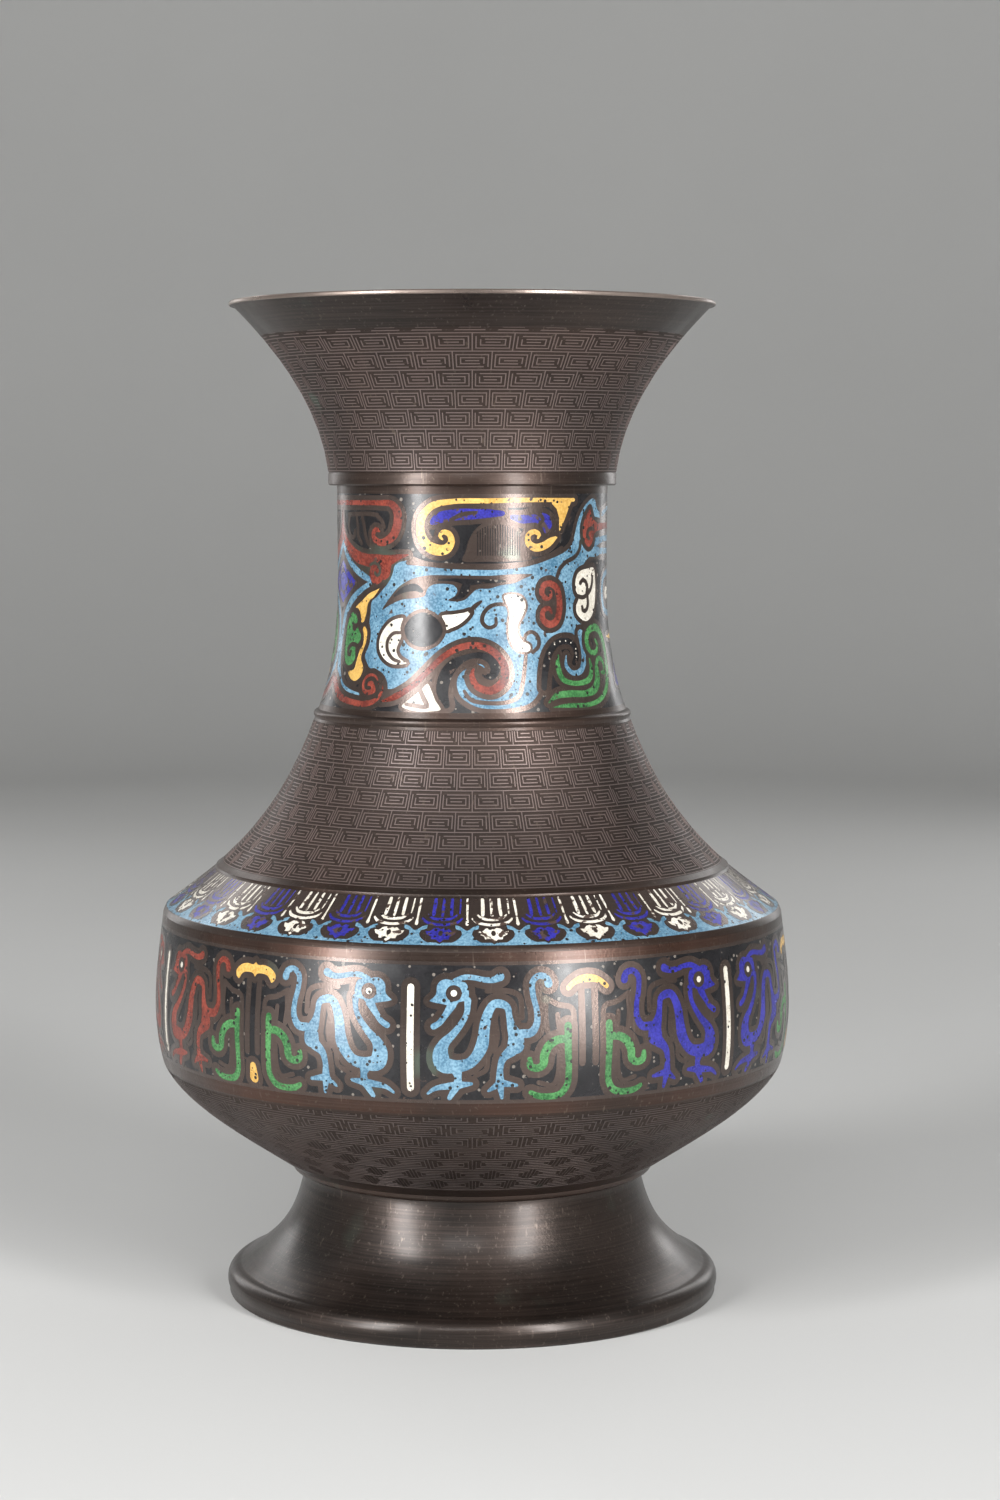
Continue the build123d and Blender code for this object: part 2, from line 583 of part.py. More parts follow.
def neck_cutter(outlines, sides=(1, -1)):
    """The cells of the mask's outlines of one colour, on both sides of its nose."""
    with BuildPart() as cutter:
        for shares in outlines:
            angles = [share * pi for share, _ in shares]
            middle = (min(angles) + max(angles)) / 2
            heights = [neck_frieze_base + up * neck_frieze_height for _, up in shares]
            for side in sides:
                with BuildSketch(face_plane(mask_angle + degrees(side * middle), neck_reach)):
                    with BuildLine():
                        Polyline(*[(side * neck_radius_at(height) * sin(angle - middle), height)
                                   for angle, height in zip(angles, heights)], close=True)
                    make_face()
                extrude(amount=-2 * tool_overrun - neck_low_radius / 4)
        add(neck_cutting.part, mode=Mode.INTERSECT)
    return cutter


lozenge_cutter = neck_cutter([lozenge_shares], sides=(1,))
lozenge_blue = fill(lozenge_cutter, neck_blank)
lozenge_blue.part.label = "lozenge_blue"
neck_cutters = [lozenge_cutter]
neck_enamels = [lozenge_blue]
for colour, outlines in neck_shares.items():
    cutter = neck_cutter(outlines)
    enamel = fill(cutter, neck_blank)
    enamel.part.label = "mask_" + colour
    neck_cutters.append(cutter)
    neck_enamels.append(enamel)

with BuildPart() as neck:
    add(neck_blank.part)
    for cutter in neck_cutters:
        add(cutter.part, mode=Mode.SUBTRACT)
neck.part.label = "neck"

# Mouth: a trumpet with a thin square rim, whose collar is a socket over the neck's top
mouth_inner_top = (rim_radius - wall, rim_top)
with BuildPart() as mouth:
    with BuildSketch(Plane.XZ):
        with BuildLine():
            Polyline((neck_head_radius, mouth_seam), (collar_radius, mouth_seam), mouth_low)
            flow(mouth_low, mouth_low_slope, mouth_top, mouth_top_slope)
            Polyline(mouth_top, (rim_radius, mouth_top[1]), (rim_radius, rim_top),
                     mouth_inner_top)
            flow((neck_bore_radius, neck_top), mouth_low_slope, mouth_inner_top, mouth_top_slope)
            Polyline((neck_bore_radius, neck_top), (neck_head_radius, neck_top),
                     (neck_head_radius, mouth_seam))
        make_face()
    revolve(axis=Axis.Z)
mouth.part.label = "mouth"

pieces = [
    mouth, neck, shoulder, drum, bowl, foot, base_plate,
    lappets_white, lappets_blue, scallops_turquoise,
    birds_turquoise, birds_blue, birds_red, panel_bars_white,
    caps_yellow, scrolls_green, drops_yellow, belly_ground_black,
]
for piece in pieces + neck_enamels:
    export_step(piece.part, f"parts/{piece.part.label}.step")
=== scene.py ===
"""The enamelled bronze vase, dressed for a plain studio picture.

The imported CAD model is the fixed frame. Each sub-assembly is a class that holds its sizes
in millimetres, builds its casting and its enamels round the frame, and dresses them. The
enamelled bands are drawn flat, as strokes with a half width at each point, cut into cells,
and then wrapped on the vase's wall.
"""
import sys

import logging
import math
from dataclasses import dataclass, field, replace
from enum import Enum
from typing import Callable, Iterable, Optional, Sequence, Union

import bpy
import numpy as np
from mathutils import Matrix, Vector
from mathutils.geometry import delaunay_2d_cdt


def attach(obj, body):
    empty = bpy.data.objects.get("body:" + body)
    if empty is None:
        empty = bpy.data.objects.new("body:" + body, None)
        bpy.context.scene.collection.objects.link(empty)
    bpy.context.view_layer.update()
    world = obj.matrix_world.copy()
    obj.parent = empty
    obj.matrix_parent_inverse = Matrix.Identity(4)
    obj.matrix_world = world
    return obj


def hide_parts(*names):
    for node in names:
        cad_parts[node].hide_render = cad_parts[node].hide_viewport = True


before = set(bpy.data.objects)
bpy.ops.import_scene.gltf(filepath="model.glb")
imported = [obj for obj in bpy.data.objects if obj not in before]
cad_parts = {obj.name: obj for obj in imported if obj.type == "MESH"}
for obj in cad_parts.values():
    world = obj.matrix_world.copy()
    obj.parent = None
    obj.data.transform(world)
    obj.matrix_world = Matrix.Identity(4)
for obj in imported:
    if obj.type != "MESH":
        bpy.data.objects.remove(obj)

MM = 0.001
TURN = 2 * math.pi
LOG = logging.getLogger("vase")

Point = tuple[float, float]
Inked = tuple[float, float, float]
Colour = tuple[float, float, float]
Socket = bpy.types.NodeSocket
Piece = bpy.types.Object


class Tint(Enum):
    """What fills a place on an enamelled band."""

    BRONZE = "bronze"
    BLACK = "black"
    TURQUOISE = "turquoise"
    BLUE = "blue"
    RED = "red"
    YELLOW = "yellow"
    GREEN = "green"
    WHITE = "white"
    BIRD = "bird"


# ---- finishes


class Shader:
    """A material that is built node by node."""

    def __init__(self, name: str) -> None:
        """Starts a material with one principled surface.

        Args:
            name: the material's name.
        """
        self.material = bpy.data.materials.new(name)
        self.material.use_nodes = True
        self.tree = self.material.node_tree
        self.surface = self.tree.nodes["Principled BSDF"]
        self.place = self.tree.nodes.new("ShaderNodeTexCoord").outputs["Object"]

    def add(self, kind: str, values: Optional[dict] = None, **settings: object) -> bpy.types.Node:
        """Adds a node.

        Args:
            kind: the node's type.
            values: input name to its constant, or to the socket that feeds it.
            settings: properties of the node itself.

        Returns:
            The new node.
        """
        node = self.tree.nodes.new(kind)
        for key, value in settings.items():
            setattr(node, key, value)
        for key, value in (values or {}).items():
            if isinstance(value, Socket):
                self.tree.links.new(value, node.inputs[key])
            else:
                node.inputs[key].default_value = value
        return node

    def noise(self, scale: float, detail: float = 4.0, stretch: float = 1.0) -> Socket:
        """A noise on the object's own place, stretched along the vase's height.

        Args:
            scale: waves to the metre.
            detail: how many finer layers it has.
            stretch: how much taller than wide its patches are.

        Returns:
            The noise's value.
        """
        place = self.add("ShaderNodeMapping", {"Vector": self.place, "Scale": (1, 1, 1 / stretch)})
        return self.add("ShaderNodeTexNoise", {
            "Vector": place.outputs["Vector"], "Scale": scale, "Detail": detail,
        }).outputs["Fac"]

    def ramp(self, value: Socket, low: float, high: float,
             start: float = 0.0, end: float = 1.0) -> Socket:
        """Turns a value between low and high into one between start and end.

        Args:
            value: what is read.
            low: the value that gives start.
            high: the value that gives end.
            start: the result at low.
            end: the result at high.

        Returns:
            The result, held inside start and end.
        """
        return self.add("ShaderNodeMapRange", {
            "Value": value, "From Min": low, "From Max": high, "To Min": start, "To Max": end,
        }).outputs["Result"]

    def reckon(self, operation: str, *parts: Union[float, Socket]) -> Socket:
        """One step of arithmetic on numbers or sockets."""
        node = self.add("ShaderNodeMath", dict(enumerate(parts)), operation=operation)
        return node.outputs["Value"]

    def mix(self, share: Union[float, Socket], first: object, second: object) -> Socket:
        """Mixes two colours.

        Args:
            share: how much of the second colour there is.
            first: a colour, or the socket that gives it.
            second: a colour, or the socket that gives it.

        Returns:
            The mixed colour.
        """
        node = self.add("ShaderNodeMix", data_type="RGBA")
        for slot, value in ((0, share), (6, first), (7, second)):
            if isinstance(value, Socket):
                self.tree.links.new(value, node.inputs[slot])
            else:
                node.inputs[slot].default_value = value if slot == 0 else (*value, 1)
        return node.outputs[2]

    def bump(self, height: Socket, distance: float, strength: float = 1.0,
             under: Optional[Socket] = None) -> Socket:
        """Relief in the surface.

        Args:
            height: the relief's height, from 0 to 1.
            distance: how far 1 stands up, in metres.
            strength: the share of it that is used.
            under: relief that this one lies on.

        Returns:
            The bent normal.
        """
        values = {"Height": height, "Distance": distance, "Strength": strength}
        if under is not None:
            values["Normal"] = under
        return self.add("ShaderNodeBump", values).outputs["Normal"]

    def feed(self, name: str, value: object) -> None:
        """Sets one input of the surface.

        Args:
            name: the input's name.
            value: a constant, or the socket that feeds it.
        """
        if isinstance(value, Socket):
            self.tree.links.new(value, self.surface.inputs[name])
        else:
            self.surface.inputs[name].default_value = value


@dataclass(frozen=True)
class BronzeFinish:
    """Patinated and waxed cast bronze: dark brown that wears reddish where it is handled."""

    name: str = "bronze_patina"
    dark: Colour = (0.030, 0.021, 0.017)
    warm: Colour = (0.075, 0.038, 0.026)
    warmth: float = 0.5
    roughness: float = 0.36
    wax: float = 0.25
    grain: float = 0.00006
    verdigris: float = 0.5
    dull: Colour = (0.16, 0.13, 0.105)
    scuffed: Colour = (0.17, 0.13, 0.105)
    turned: Colour = (0.12, 0.085, 0.07)
    stain: Colour = (0.10, 0.155, 0.12)
    metallic: float = 0.72
    wax_roughness: float = 0.22

    def material(self) -> bpy.types.Material:
        """Builds the material."""
        shader = Shader(self.name)
        warm = shader.ramp(shader.noise(28.0, 6.0, 1.6), 0.36, 0.68, 0.0, self.warmth)
        colour = shader.mix(warm, self.dark, self.warm)
        dull = shader.ramp(shader.noise(900.0, 3.0), 0.62, 0.78, 0.0, 0.45)
        colour = shader.mix(dull, colour, self.dull)
        scuffs = shader.ramp(shader.noise(800.0, 2.0, 14.0), 0.66, 0.74, 0.0, 0.35)
        colour = shader.mix(scuffs, colour, self.scuffed)
        turned = shader.ramp(shader.noise(26.0, 3.0, 0.012), 0.4, 0.7, 0.0, 0.22)
        colour = shader.mix(turned, colour, self.turned)
        stains = shader.ramp(shader.noise(42.0, 6.0), 0.66, 0.74, 0.0, self.verdigris)
        shader.feed("Base Color", shader.mix(stains, colour, self.stain))
        shader.feed("Metallic", self.metallic)
        shader.feed("Roughness", shader.ramp(shader.noise(60.0, 5.0, 2.5), 0.3, 0.7,
                                             self.roughness - 0.07, self.roughness + 0.12))
        shader.feed("Coat Weight", self.wax)
        shader.feed("Coat Roughness", self.wax_roughness)
        fine = shader.bump(shader.noise(1500.0, 4.0), self.grain, 0.8)
        shader.feed("Normal", shader.bump(shader.noise(120.0, 3.0), 0.00012, 0.5, fine))
        return shader.material


@dataclass(frozen=True)
class EnamelFinish:
    """Vitreous enamel, ground and polished, with open pits where bubbles were cut."""

    name: str
    colour: Colour
    shade: Colour
    pit: Colour = (0.012, 0.010, 0.009)
    bare: Colour = (0.060, 0.038, 0.030)
    pit_density: float = 0.75
    pit_scale: float = 620.0
    roughness: float = 0.24
    worn: float = 0.0

    def material(self) -> bpy.types.Material:
        """Builds the material."""
        shader = Shader(self.name)
        cloud = shader.ramp(shader.noise(160.0, 4.0), 0.36, 0.66)
        grain = shader.ramp(shader.noise(1500.0, 3.0), 0.40, 0.60)
        share = shader.ramp(shader.reckon("ADD", cloud, grain), 0.2, 1.8)
        colour = shader.mix(share, self.colour, self.shade)
        bare = shader.ramp(shader.noise(430.0, 4.0), 0.68 - self.worn, 0.71 - self.worn)
        colour = shader.mix(bare, colour, self.bare)
        cells = shader.add("ShaderNodeTexVoronoi", {"Vector": shader.place,
                                                    "Scale": self.pit_scale, "Randomness": 1.0})
        chance = shader.add("ShaderNodeSeparateColor", {"Color": cells.outputs["Color"]})
        chosen = shader.reckon("LESS_THAN", chance.outputs["Red"], self.pit_density)
        radius = shader.ramp(chance.outputs["Green"], 0.2, 1.0, 0.10, 0.37)
        pit = shader.reckon("MULTIPLY", chosen,
                         shader.reckon("LESS_THAN", cells.outputs["Distance"], radius))
        shader.feed("Base Color", shader.mix(pit, colour, self.pit))
        shader.feed("Roughness", shader.ramp(shader.noise(90.0, 4.0), 0.3, 0.7,
                                             self.roughness - 0.05, self.roughness + 0.14))
        shader.feed("Specular IOR Level", 0.55)
        sunk = shader.bump(shader.ramp(pit, 0.0, 1.0, 1.0, 0.0), 0.0001, 0.7)
        shader.feed("Normal", shader.bump(shader.noise(260.0, 4.0), 0.00006, 0.6, sunk))
        return shader.material


@dataclass(frozen=True)
class StudioFinish:
    """The matt pale sweep the vase stands on."""

    name: str = "studio_sweep"
    colour: Colour = (0.62, 0.62, 0.61)

    def material(self) -> bpy.types.Material:
        """Builds the material."""
        shader = Shader(self.name)
        tone = shader.ramp(shader.noise(3.0, 3.0), 0.3, 0.7)
        darker = tuple(channel * 0.97 for channel in self.colour)
        shader.feed("Base Color", shader.mix(tone, self.colour, darker))
        shader.feed("Roughness", 0.75)
        return shader.material


ENAMELS: dict[Tint, EnamelFinish] = {
    Tint.TURQUOISE: EnamelFinish("enamel_turquoise", (0.045, 0.125, 0.20), (0.175, 0.315, 0.415)),
    Tint.BLUE: EnamelFinish("enamel_blue", (0.014, 0.013, 0.15), (0.032, 0.030, 0.31)),
    Tint.RED: EnamelFinish("enamel_red", (0.095, 0.016, 0.011), (0.25, 0.048, 0.030)),
    Tint.YELLOW: EnamelFinish("enamel_yellow", (0.48, 0.27, 0.06), (0.66, 0.42, 0.12)),
    Tint.GREEN: EnamelFinish("enamel_green", (0.016, 0.090, 0.024), (0.075, 0.250, 0.080)),
    Tint.WHITE: EnamelFinish("enamel_white", (0.52, 0.48, 0.40), (0.74, 0.70, 0.62),
                             pit_density=0.6),
    Tint.BLACK: EnamelFinish("enamel_black", (0.002, 0.002, 0.003), (0.012, 0.011, 0.013),
                             pit=(0.16, 0.14, 0.12), pit_density=0.4),
}


class Paints:
    """The materials of the vase, each built once when first asked for."""

    def __init__(self) -> None:
        """Starts with no material built."""
        self._built: dict[str, bpy.types.Material] = {}

    def of(self, finish: Union[BronzeFinish, EnamelFinish, StudioFinish]) -> bpy.types.Material:
        """The material of a finish.

        Args:
            finish: what the surface is made of.

        Returns:
            The one material that has this finish's name.
        """
        if finish.name not in self._built:
            self._built[finish.name] = finish.material()
        return self._built[finish.name]


PAINTS = Paints()
BRONZE = BronzeFinish()
GROUND_BRONZE = BronzeFinish("bronze_ground", dark=(0.030, 0.022, 0.019),
                             warm=(0.056, 0.035, 0.027), roughness=0.55, wax=0.0)
# A darker, less red copy of the bronze for the foot and the plain lip under the rim: painted shade.
SHADED_FOOT_BRONZE = BronzeFinish("bronze_foot_painted_shade", dark=(0.018, 0.014, 0.012),
                           warm=(0.044, 0.027, 0.020), roughness=0.34, wax=0.3,
                           verdigris=0.12)
# Pale bronze for the meander's ridges: partly rubbed high points, partly painted sheen that sets
# them off from the duller ground in place of the relief's own light and shade.
MEANDER_BRONZE = BronzeFinish("bronze_meander", dark=(0.16, 0.125, 0.118),
                              warm=(0.25, 0.175, 0.155), roughness=0.44, wax=0.1)
MOULDING_BRONZE = BronzeFinish("bronze_moulding", dark=(0.032, 0.019, 0.014),
                               warm=(0.085, 0.036, 0.022), warmth=0.8, roughness=0.3, wax=0.35)
# A darker copy of the meander bronze for the bowl, whose rows face downwards: painted shade.
SHADED_MEANDER_BRONZE = replace(MEANDER_BRONZE, name="bronze_meander_painted_shade",
                             dark=(0.10, 0.082, 0.078), warm=(0.165, 0.125, 0.112))
WEB_BRONZE = BronzeFinish("bronze_web", dark=(0.068, 0.052, 0.046),
                          warm=(0.122, 0.080, 0.064), roughness=0.26, wax=0.3)
# Pale bronze for the outer edge and top of the mouth's rim: a painted highlight along the rim.
RIM_HIGHLIGHT_BRONZE = BronzeFinish("bronze_rim_painted_highlight", dark=(0.20, 0.16, 0.14),
                          warm=(0.42, 0.34, 0.29), roughness=0.3, wax=0.1)


# ---- the wall of the vase


@dataclass(frozen=True)
class WallLine:
    """A smooth stretch of wall: radius and height at both ends, and the slope there."""

    low: Point
    low_slope: float
    high: Point
    high_slope: float

    def radius(self, height: np.ndarray) -> np.ndarray:
        """The wall's radius at each height."""
        span = self.high[1] - self.low[1]
        along = np.clip((height - self.low[1]) / span, 0.0, 1.0)
        back = 1.0 - along
        return (back * back * (1 + 2 * along) * self.low[0]
                + along * back * back * span * self.low_slope
                + along * along * (1 + 2 * back) * self.high[0]
                - back * along * along * span * self.high_slope)


@dataclass(frozen=True)
class Wall:
    """Stretches of wall that follow one another upwards."""

    lines: tuple[WallLine, ...]

    def radius(self, height: np.ndarray) -> np.ndarray:
        """The wall's radius at each height."""
        height = np.asarray(height, float)
        found = self.lines[0].radius(height)
        for line in self.lines[1:]:
            found = np.where(height > line.low[1], line.radius(height), found)
        return found

    def slope(self, height: np.ndarray) -> np.ndarray:
        """How fast the radius grows with height at each height."""
        nudge = 0.02
        low = np.clip(np.asarray(height, float) - nudge, self.lines[0].low[1], None)
        high = np.clip(np.asarray(height, float) + nudge, None, self.lines[-1].high[1])
        return (self.radius(high) - self.radius(low)) / (high - low)

    def _below(self, height: np.ndarray, depth: float) -> tuple[np.ndarray, np.ndarray]:
        """Radius and height of places at a depth below the wall, square to it."""
        slope = self.slope(height)
        length = np.hypot(1.0, slope)
        return self.radius(height) - depth / length, height + depth * slope / length

    def wrap(self, angle: np.ndarray, height: np.ndarray, depth: float) -> np.ndarray:
        """Places in metres at a depth below the wall.

        Args:
            angle: the angle from the front towards +X, in radians.
            height: the height on the wall, in millimetres.
            depth: how far below the wall, square to it, in millimetres.

        Returns:
            One row of three numbers for each place.
        """
        radius, lift = self._below(height, depth)
        return np.stack([radius * np.sin(angle), -radius * np.cos(angle), lift], 1) * MM

    def outline(self, low: float, high: float, depth: float = 0.0,
                step: float = 1.2) -> list[Point]:
        """Points up the wall between two heights.

        Args:
            low: the lower height.
            high: the upper height.
            depth: how far below the wall the points lie.
            step: the distance between points.

        Returns:
            Radius and height of each point, from low to high.
        """
        count = max(2, int(math.ceil((high - low) / step)) + 1)
        radius, lift = self._below(np.linspace(low, high, count), depth)
        return list(zip(radius.tolist(), lift.tolist()))

    def grooved(self, low: float, start: float, end: float, high: float,
                depth: float) -> list[Point]:
        """Points up the wall from low to high, sunk by a depth between start and end."""
        return self.outline(low, start) + self.outline(start, end, depth) + self.outline(end, high)


# ---- meshes


def make_piece(name: str, points: np.ndarray, faces: Sequence[Sequence[int]],
               material: bpy.types.Material, crease: float = 32.0) -> Piece:
    """Makes a shown object from points and faces.

    Args:
        name: the piece's name.
        points: one row of three numbers for each point, in metres.
        faces: the point numbers of each face, turning left seen from outside.
        material: what it is made of.
        crease: the angle in degrees past which an edge stays sharp.

    Returns:
        The new object.
    """
    mesh = bpy.data.meshes.new(name)
    mesh.from_pydata([tuple(p) for p in np.asarray(points).tolist()], [],
                     [tuple(f) for f in faces])
    mesh.validate()
    mesh.polygons.foreach_set("use_smooth", [True] * len(mesh.polygons))
    mesh.set_sharp_from_angle(angle=math.radians(crease))
    mesh.materials.append(material)
    mesh.update()
    piece = bpy.data.objects.new(name, mesh)
    bpy.context.scene.collection.objects.link(piece)
    return piece


def lathe(name: str, section: Sequence[Point], material: bpy.types.Material,
          facets: int = 216) -> Piece:
    """Turns a closed section about the vase's axis.

    Args:
        name: the piece's name.
        section: radius and height of each corner, up the outside and down the inside.
        material: what it is made of.
        facets: how many steps the full turn has.

    Returns:
        The turned object.
    """
    same = 0.01
    kept: list[Point] = []
    for corner in section:
        if not kept or math.dist(corner, kept[-1]) > same:
            kept.append(corner)
    if math.dist(kept[0], kept[-1]) < same:
        kept.pop()
    rows = len(kept)
    angles = np.arange(facets) * TURN / facets
    radius, height = np.array(kept).T
    points = np.stack([np.outer(np.sin(angles), radius).ravel(),
                       -np.outer(np.cos(angles), radius).ravel(), np.tile(height, facets)], 1)
    faces = []
    for turn in range(facets):
        here, after = turn * rows, (turn + 1) % facets * rows
        faces += [(here + row, after + row, after + (row + 1) % rows, here + (row + 1) % rows)
                  for row in range(rows)]
    return make_piece(name, points * MM, faces, material)


def blacken(piece: Piece, low: float, high: float,
            material: bpy.types.Material) -> Piece:
    """Gives the outside of a casting another finish between two heights.

    Args:
        piece: the casting.
        low: where the finish starts, in millimetres.
        high: where it ends.
        material: the finish.

    Returns:
        The same piece.
    """
    piece.data.materials.append(material)
    index = len(piece.data.materials) - 1
    for face in piece.data.polygons:
        outward = face.normal.x * face.center.x + face.normal.y * face.center.y
        if low * MM < face.center.z < high * MM and outward > -1e-6:
            face.material_index = index
    return piece


def bead(start: Point, end: Point, stand: float, steps: int = 8) -> list[Point]:
    """Points of a rounded bead between two points of a section.

    Args:
        start: where the bead leaves the wall.
        end: where it comes back.
        stand: how far it stands out from the straight line between them.
        steps: how many pieces the round has.

    Returns:
        The points from start to end.
    """
    run = (end[0] - start[0], end[1] - start[1])
    length = math.hypot(*run)
    out = (run[1] / length, -run[0] / length)
    points = []
    for step in range(steps + 1):
        share = step / steps
        push = stand * math.sin(math.pi * share)
        points.append(tuple(start[k] + run[k] * share + out[k] * push for k in (0, 1)))
    return points


# ---- drawing the enamelled bands

CURVE_STEP = 0.75
RIM = 1.25
LINE = 0.68
TRIM = 0.2


def smooth(points: Sequence[Sequence[float]], closed: bool, step: float = CURVE_STEP) -> np.ndarray:
    """A smooth line through points, with whatever else each point carries.

    Args:
        points: place across, height and any further value of each point.
        closed: whether the last point leads back to the first.
        step: the distance between the points that are given back.

    Returns:
        One row for each point of the line.
    """
    knots = np.array(points, float)
    if closed:
        knots = np.vstack([knots[-1], knots, knots[0], knots[1]])
    else:
        knots = np.vstack([2 * knots[0] - knots[1], knots, 2 * knots[-1] - knots[-2]])
    chord = np.sqrt(np.linalg.norm(np.diff(knots[:, :2], axis=0), axis=1)) + 1e-6
    rows = []
    for index in range(1, len(knots) - 2):
        before, here, after = chord[index - 1], chord[index], chord[index + 1]
        p0, p1, p2, p3 = knots[index - 1:index + 3]
        m1 = (p2 - p1) - ((p2 - p0) / (before + here) - (p1 - p0) / before) * here
        m2 = (p2 - p1) + ((p3 - p2) / after - (p3 - p1) / (here + after)) * here
        count = max(1, int(round(np.linalg.norm((p2 - p1)[:2]) / step)))
        t = (np.arange(count) / count)[:, None]
        rows.append((2 * t ** 3 - 3 * t ** 2 + 1) * p1 + (t ** 3 - 2 * t ** 2 + t) * m1
                    + (3 * t ** 2 - 2 * t ** 3) * p2 + (t ** 3 - t ** 2) * m2)
    if not closed:
        rows.append(knots[-2][None, :])
    return np.vstack(rows)


def ribbon(line: np.ndarray, widen: float) -> np.ndarray:
    """The outline of a line with round ends.

    Args:
        line: place across, height and half width of each point.
        widen: what is added to every half width.

    Returns:
        The outline's points, turning left.
    """
    run = np.gradient(line[:, :2], axis=0)
    run /= np.maximum(np.linalg.norm(run, axis=1), 1e-9)[:, None]
    side = np.stack([-run[:, 1], run[:, 0]], 1)
    half = (line[:, 2] + widen)[:, None]
    left, right = line[:, :2] + side * half, line[:, :2] - side * half

    def cap(centre: np.ndarray, along: np.ndarray, half_width: float) -> np.ndarray:
        """The round end of the line, from its right side to its left."""
        count = max(3, int(half_width / 0.28))
        turn = np.linspace(-math.pi / 2, math.pi / 2, count + 2)[1:-1][:, None]
        across = np.array([-along[1], along[0]])
        return centre + half_width * (np.cos(turn) * along + np.sin(turn) * across)

    end = cap(line[-1, :2], run[-1], float(half[-1, 0]))
    start = cap(line[0, :2], -run[0], float(half[0, 0]))
    return np.vstack([right, end, left[::-1], start])


def shrink(outline: np.ndarray, by: float) -> np.ndarray:
    """Moves a closed outline inwards.

    Args:
        outline: its corners.
        by: how far, in millimetres.

    Returns:
        The smaller outline.
    """
    ahead = np.roll(outline, -1, axis=0)
    across = ahead - np.roll(outline, 1, axis=0)
    outward = np.column_stack([across[:, 1], -across[:, 0]])
    outward /= np.maximum(np.linalg.norm(outward, axis=1), 1e-6)[:, None]
    area = (outline[:, 0] * ahead[:, 1] - outline[:, 1] * ahead[:, 0]).sum()
    return outline - outward * (by if area > 0 else -by)


@dataclass(frozen=True)
class Stroke:
    """A line of enamel or bronze that swells and thins, with a bronze rim round it."""

    tint: Tint
    path: tuple[Inked, ...]
    rim: float

    def rims(self) -> list[np.ndarray]:
        """The outlines of the bronze round the stroke."""
        return [ribbon(smooth(self.path, False), self.rim)] if self.rim else []

    def fills(self) -> list[np.ndarray]:
        """The outlines of the stroke itself."""
        return [ribbon(smooth(self.path, False), -TRIM * self.rim)]


@dataclass(frozen=True)
class Patch:
    """An area of enamel or bronze inside a smooth or a cornered outline."""

    tint: Tint
    path: tuple[Point, ...]
    rim: float
    cornered: bool = False

    def _edge(self) -> np.ndarray:
        """The outline, smoothed unless it has corners."""
        if not self.cornered:
            return smooth(self.path, True)
        knots = np.array(self.path + self.path[:1], float)
        rows = []
        for start, end in zip(knots[:-1], knots[1:]):
            count = max(1, int(round(np.linalg.norm(end - start) / CURVE_STEP)))
            rows.append(start + (end - start) * (np.arange(count) / count)[:, None])
        return np.vstack(rows)

    def rims(self) -> list[np.ndarray]:
        """The outlines of the bronze round the area."""
        if not self.rim:
            return []
        edge = self._edge()
        ring = np.vstack([edge, edge[:2]])
        return [ribbon(np.column_stack([ring, np.full(len(ring), self.rim)]), 0.0)]

    def fills(self) -> list[np.ndarray]:
        """The outline of the area itself."""
        return [shrink(self._edge(), TRIM * self.rim)]


Mark = Union[Stroke, Patch]
Layers = Sequence[Sequence[Mark]]


def default_rim(tint: Tint) -> float:
    """How wide the bronze round a mark is when nothing is said; bronze has none."""
    return 0.0 if tint is Tint.BRONZE else RIM


def stroke(tint: Tint, *path: Union[Point, Inked], rim: Optional[float] = None) -> Stroke:
    """A line through points that give their place and the half width there, or else LINE."""
    inked = tuple((*place, LINE)[:3] for place in path)
    return Stroke(tint, inked, default_rim(tint) if rim is None else rim)


def patch(tint: Tint, *path: Point, rim: Optional[float] = None, cornered: bool = False) -> Patch:
    """An area inside the points of its edge."""
    return Patch(tint, path, default_rim(tint) if rim is None else rim, cornered)


def dot(tint: Tint, across: float, height: float, radius: float,
        rim: Optional[float] = None) -> Patch:
    """A round spot."""
    turns = [TURN * step / 8 for step in range(8)]
    return patch(tint, *((across + radius * math.cos(t), height + radius * math.sin(t))
                         for t in turns), rim=rim)


def set_off(marks: Iterable[Mark], start: float, way: float = 1.0) -> list[Mark]:
    """Draws marks from another place.

    Args:
        marks: the marks, measured from their own middle.
        start: where that middle lies.
        way: 1 to draw them as they are, -1 to turn left and right round.

    Returns:
        The marks in their new place.
    """
    return [replace(mark, path=tuple((start + way * place[0], *place[1:]) for place in mark.path))
            for mark in marks]


def within(points: np.ndarray, outline: np.ndarray) -> np.ndarray:
    """Which points an outline winds round.

    Args:
        points: the places asked about.
        outline: the corners of the outline, which may cross itself.

    Returns:
        True for each point inside.
    """
    low, high = outline.min(0), outline.max(0)
    near = np.all((points >= low) & (points <= high), axis=1)
    found = np.zeros(len(points), bool)
    if not near.any():
        return found
    x, y = points[near, 0][:, None], points[near, 1][:, None]
    x0, y0 = outline[:, 0], outline[:, 1]
    x1, y1 = np.roll(x0, -1), np.roll(y0, -1)
    side = (x1 - x0) * (y - y0) - (x - x0) * (y1 - y0)
    winds = ((y0 <= y) & (y1 > y) & (side > 0)).sum(1) - ((y0 > y) & (y1 <= y) & (side < 0)).sum(1)
    found[near] = winds != 0
    return found


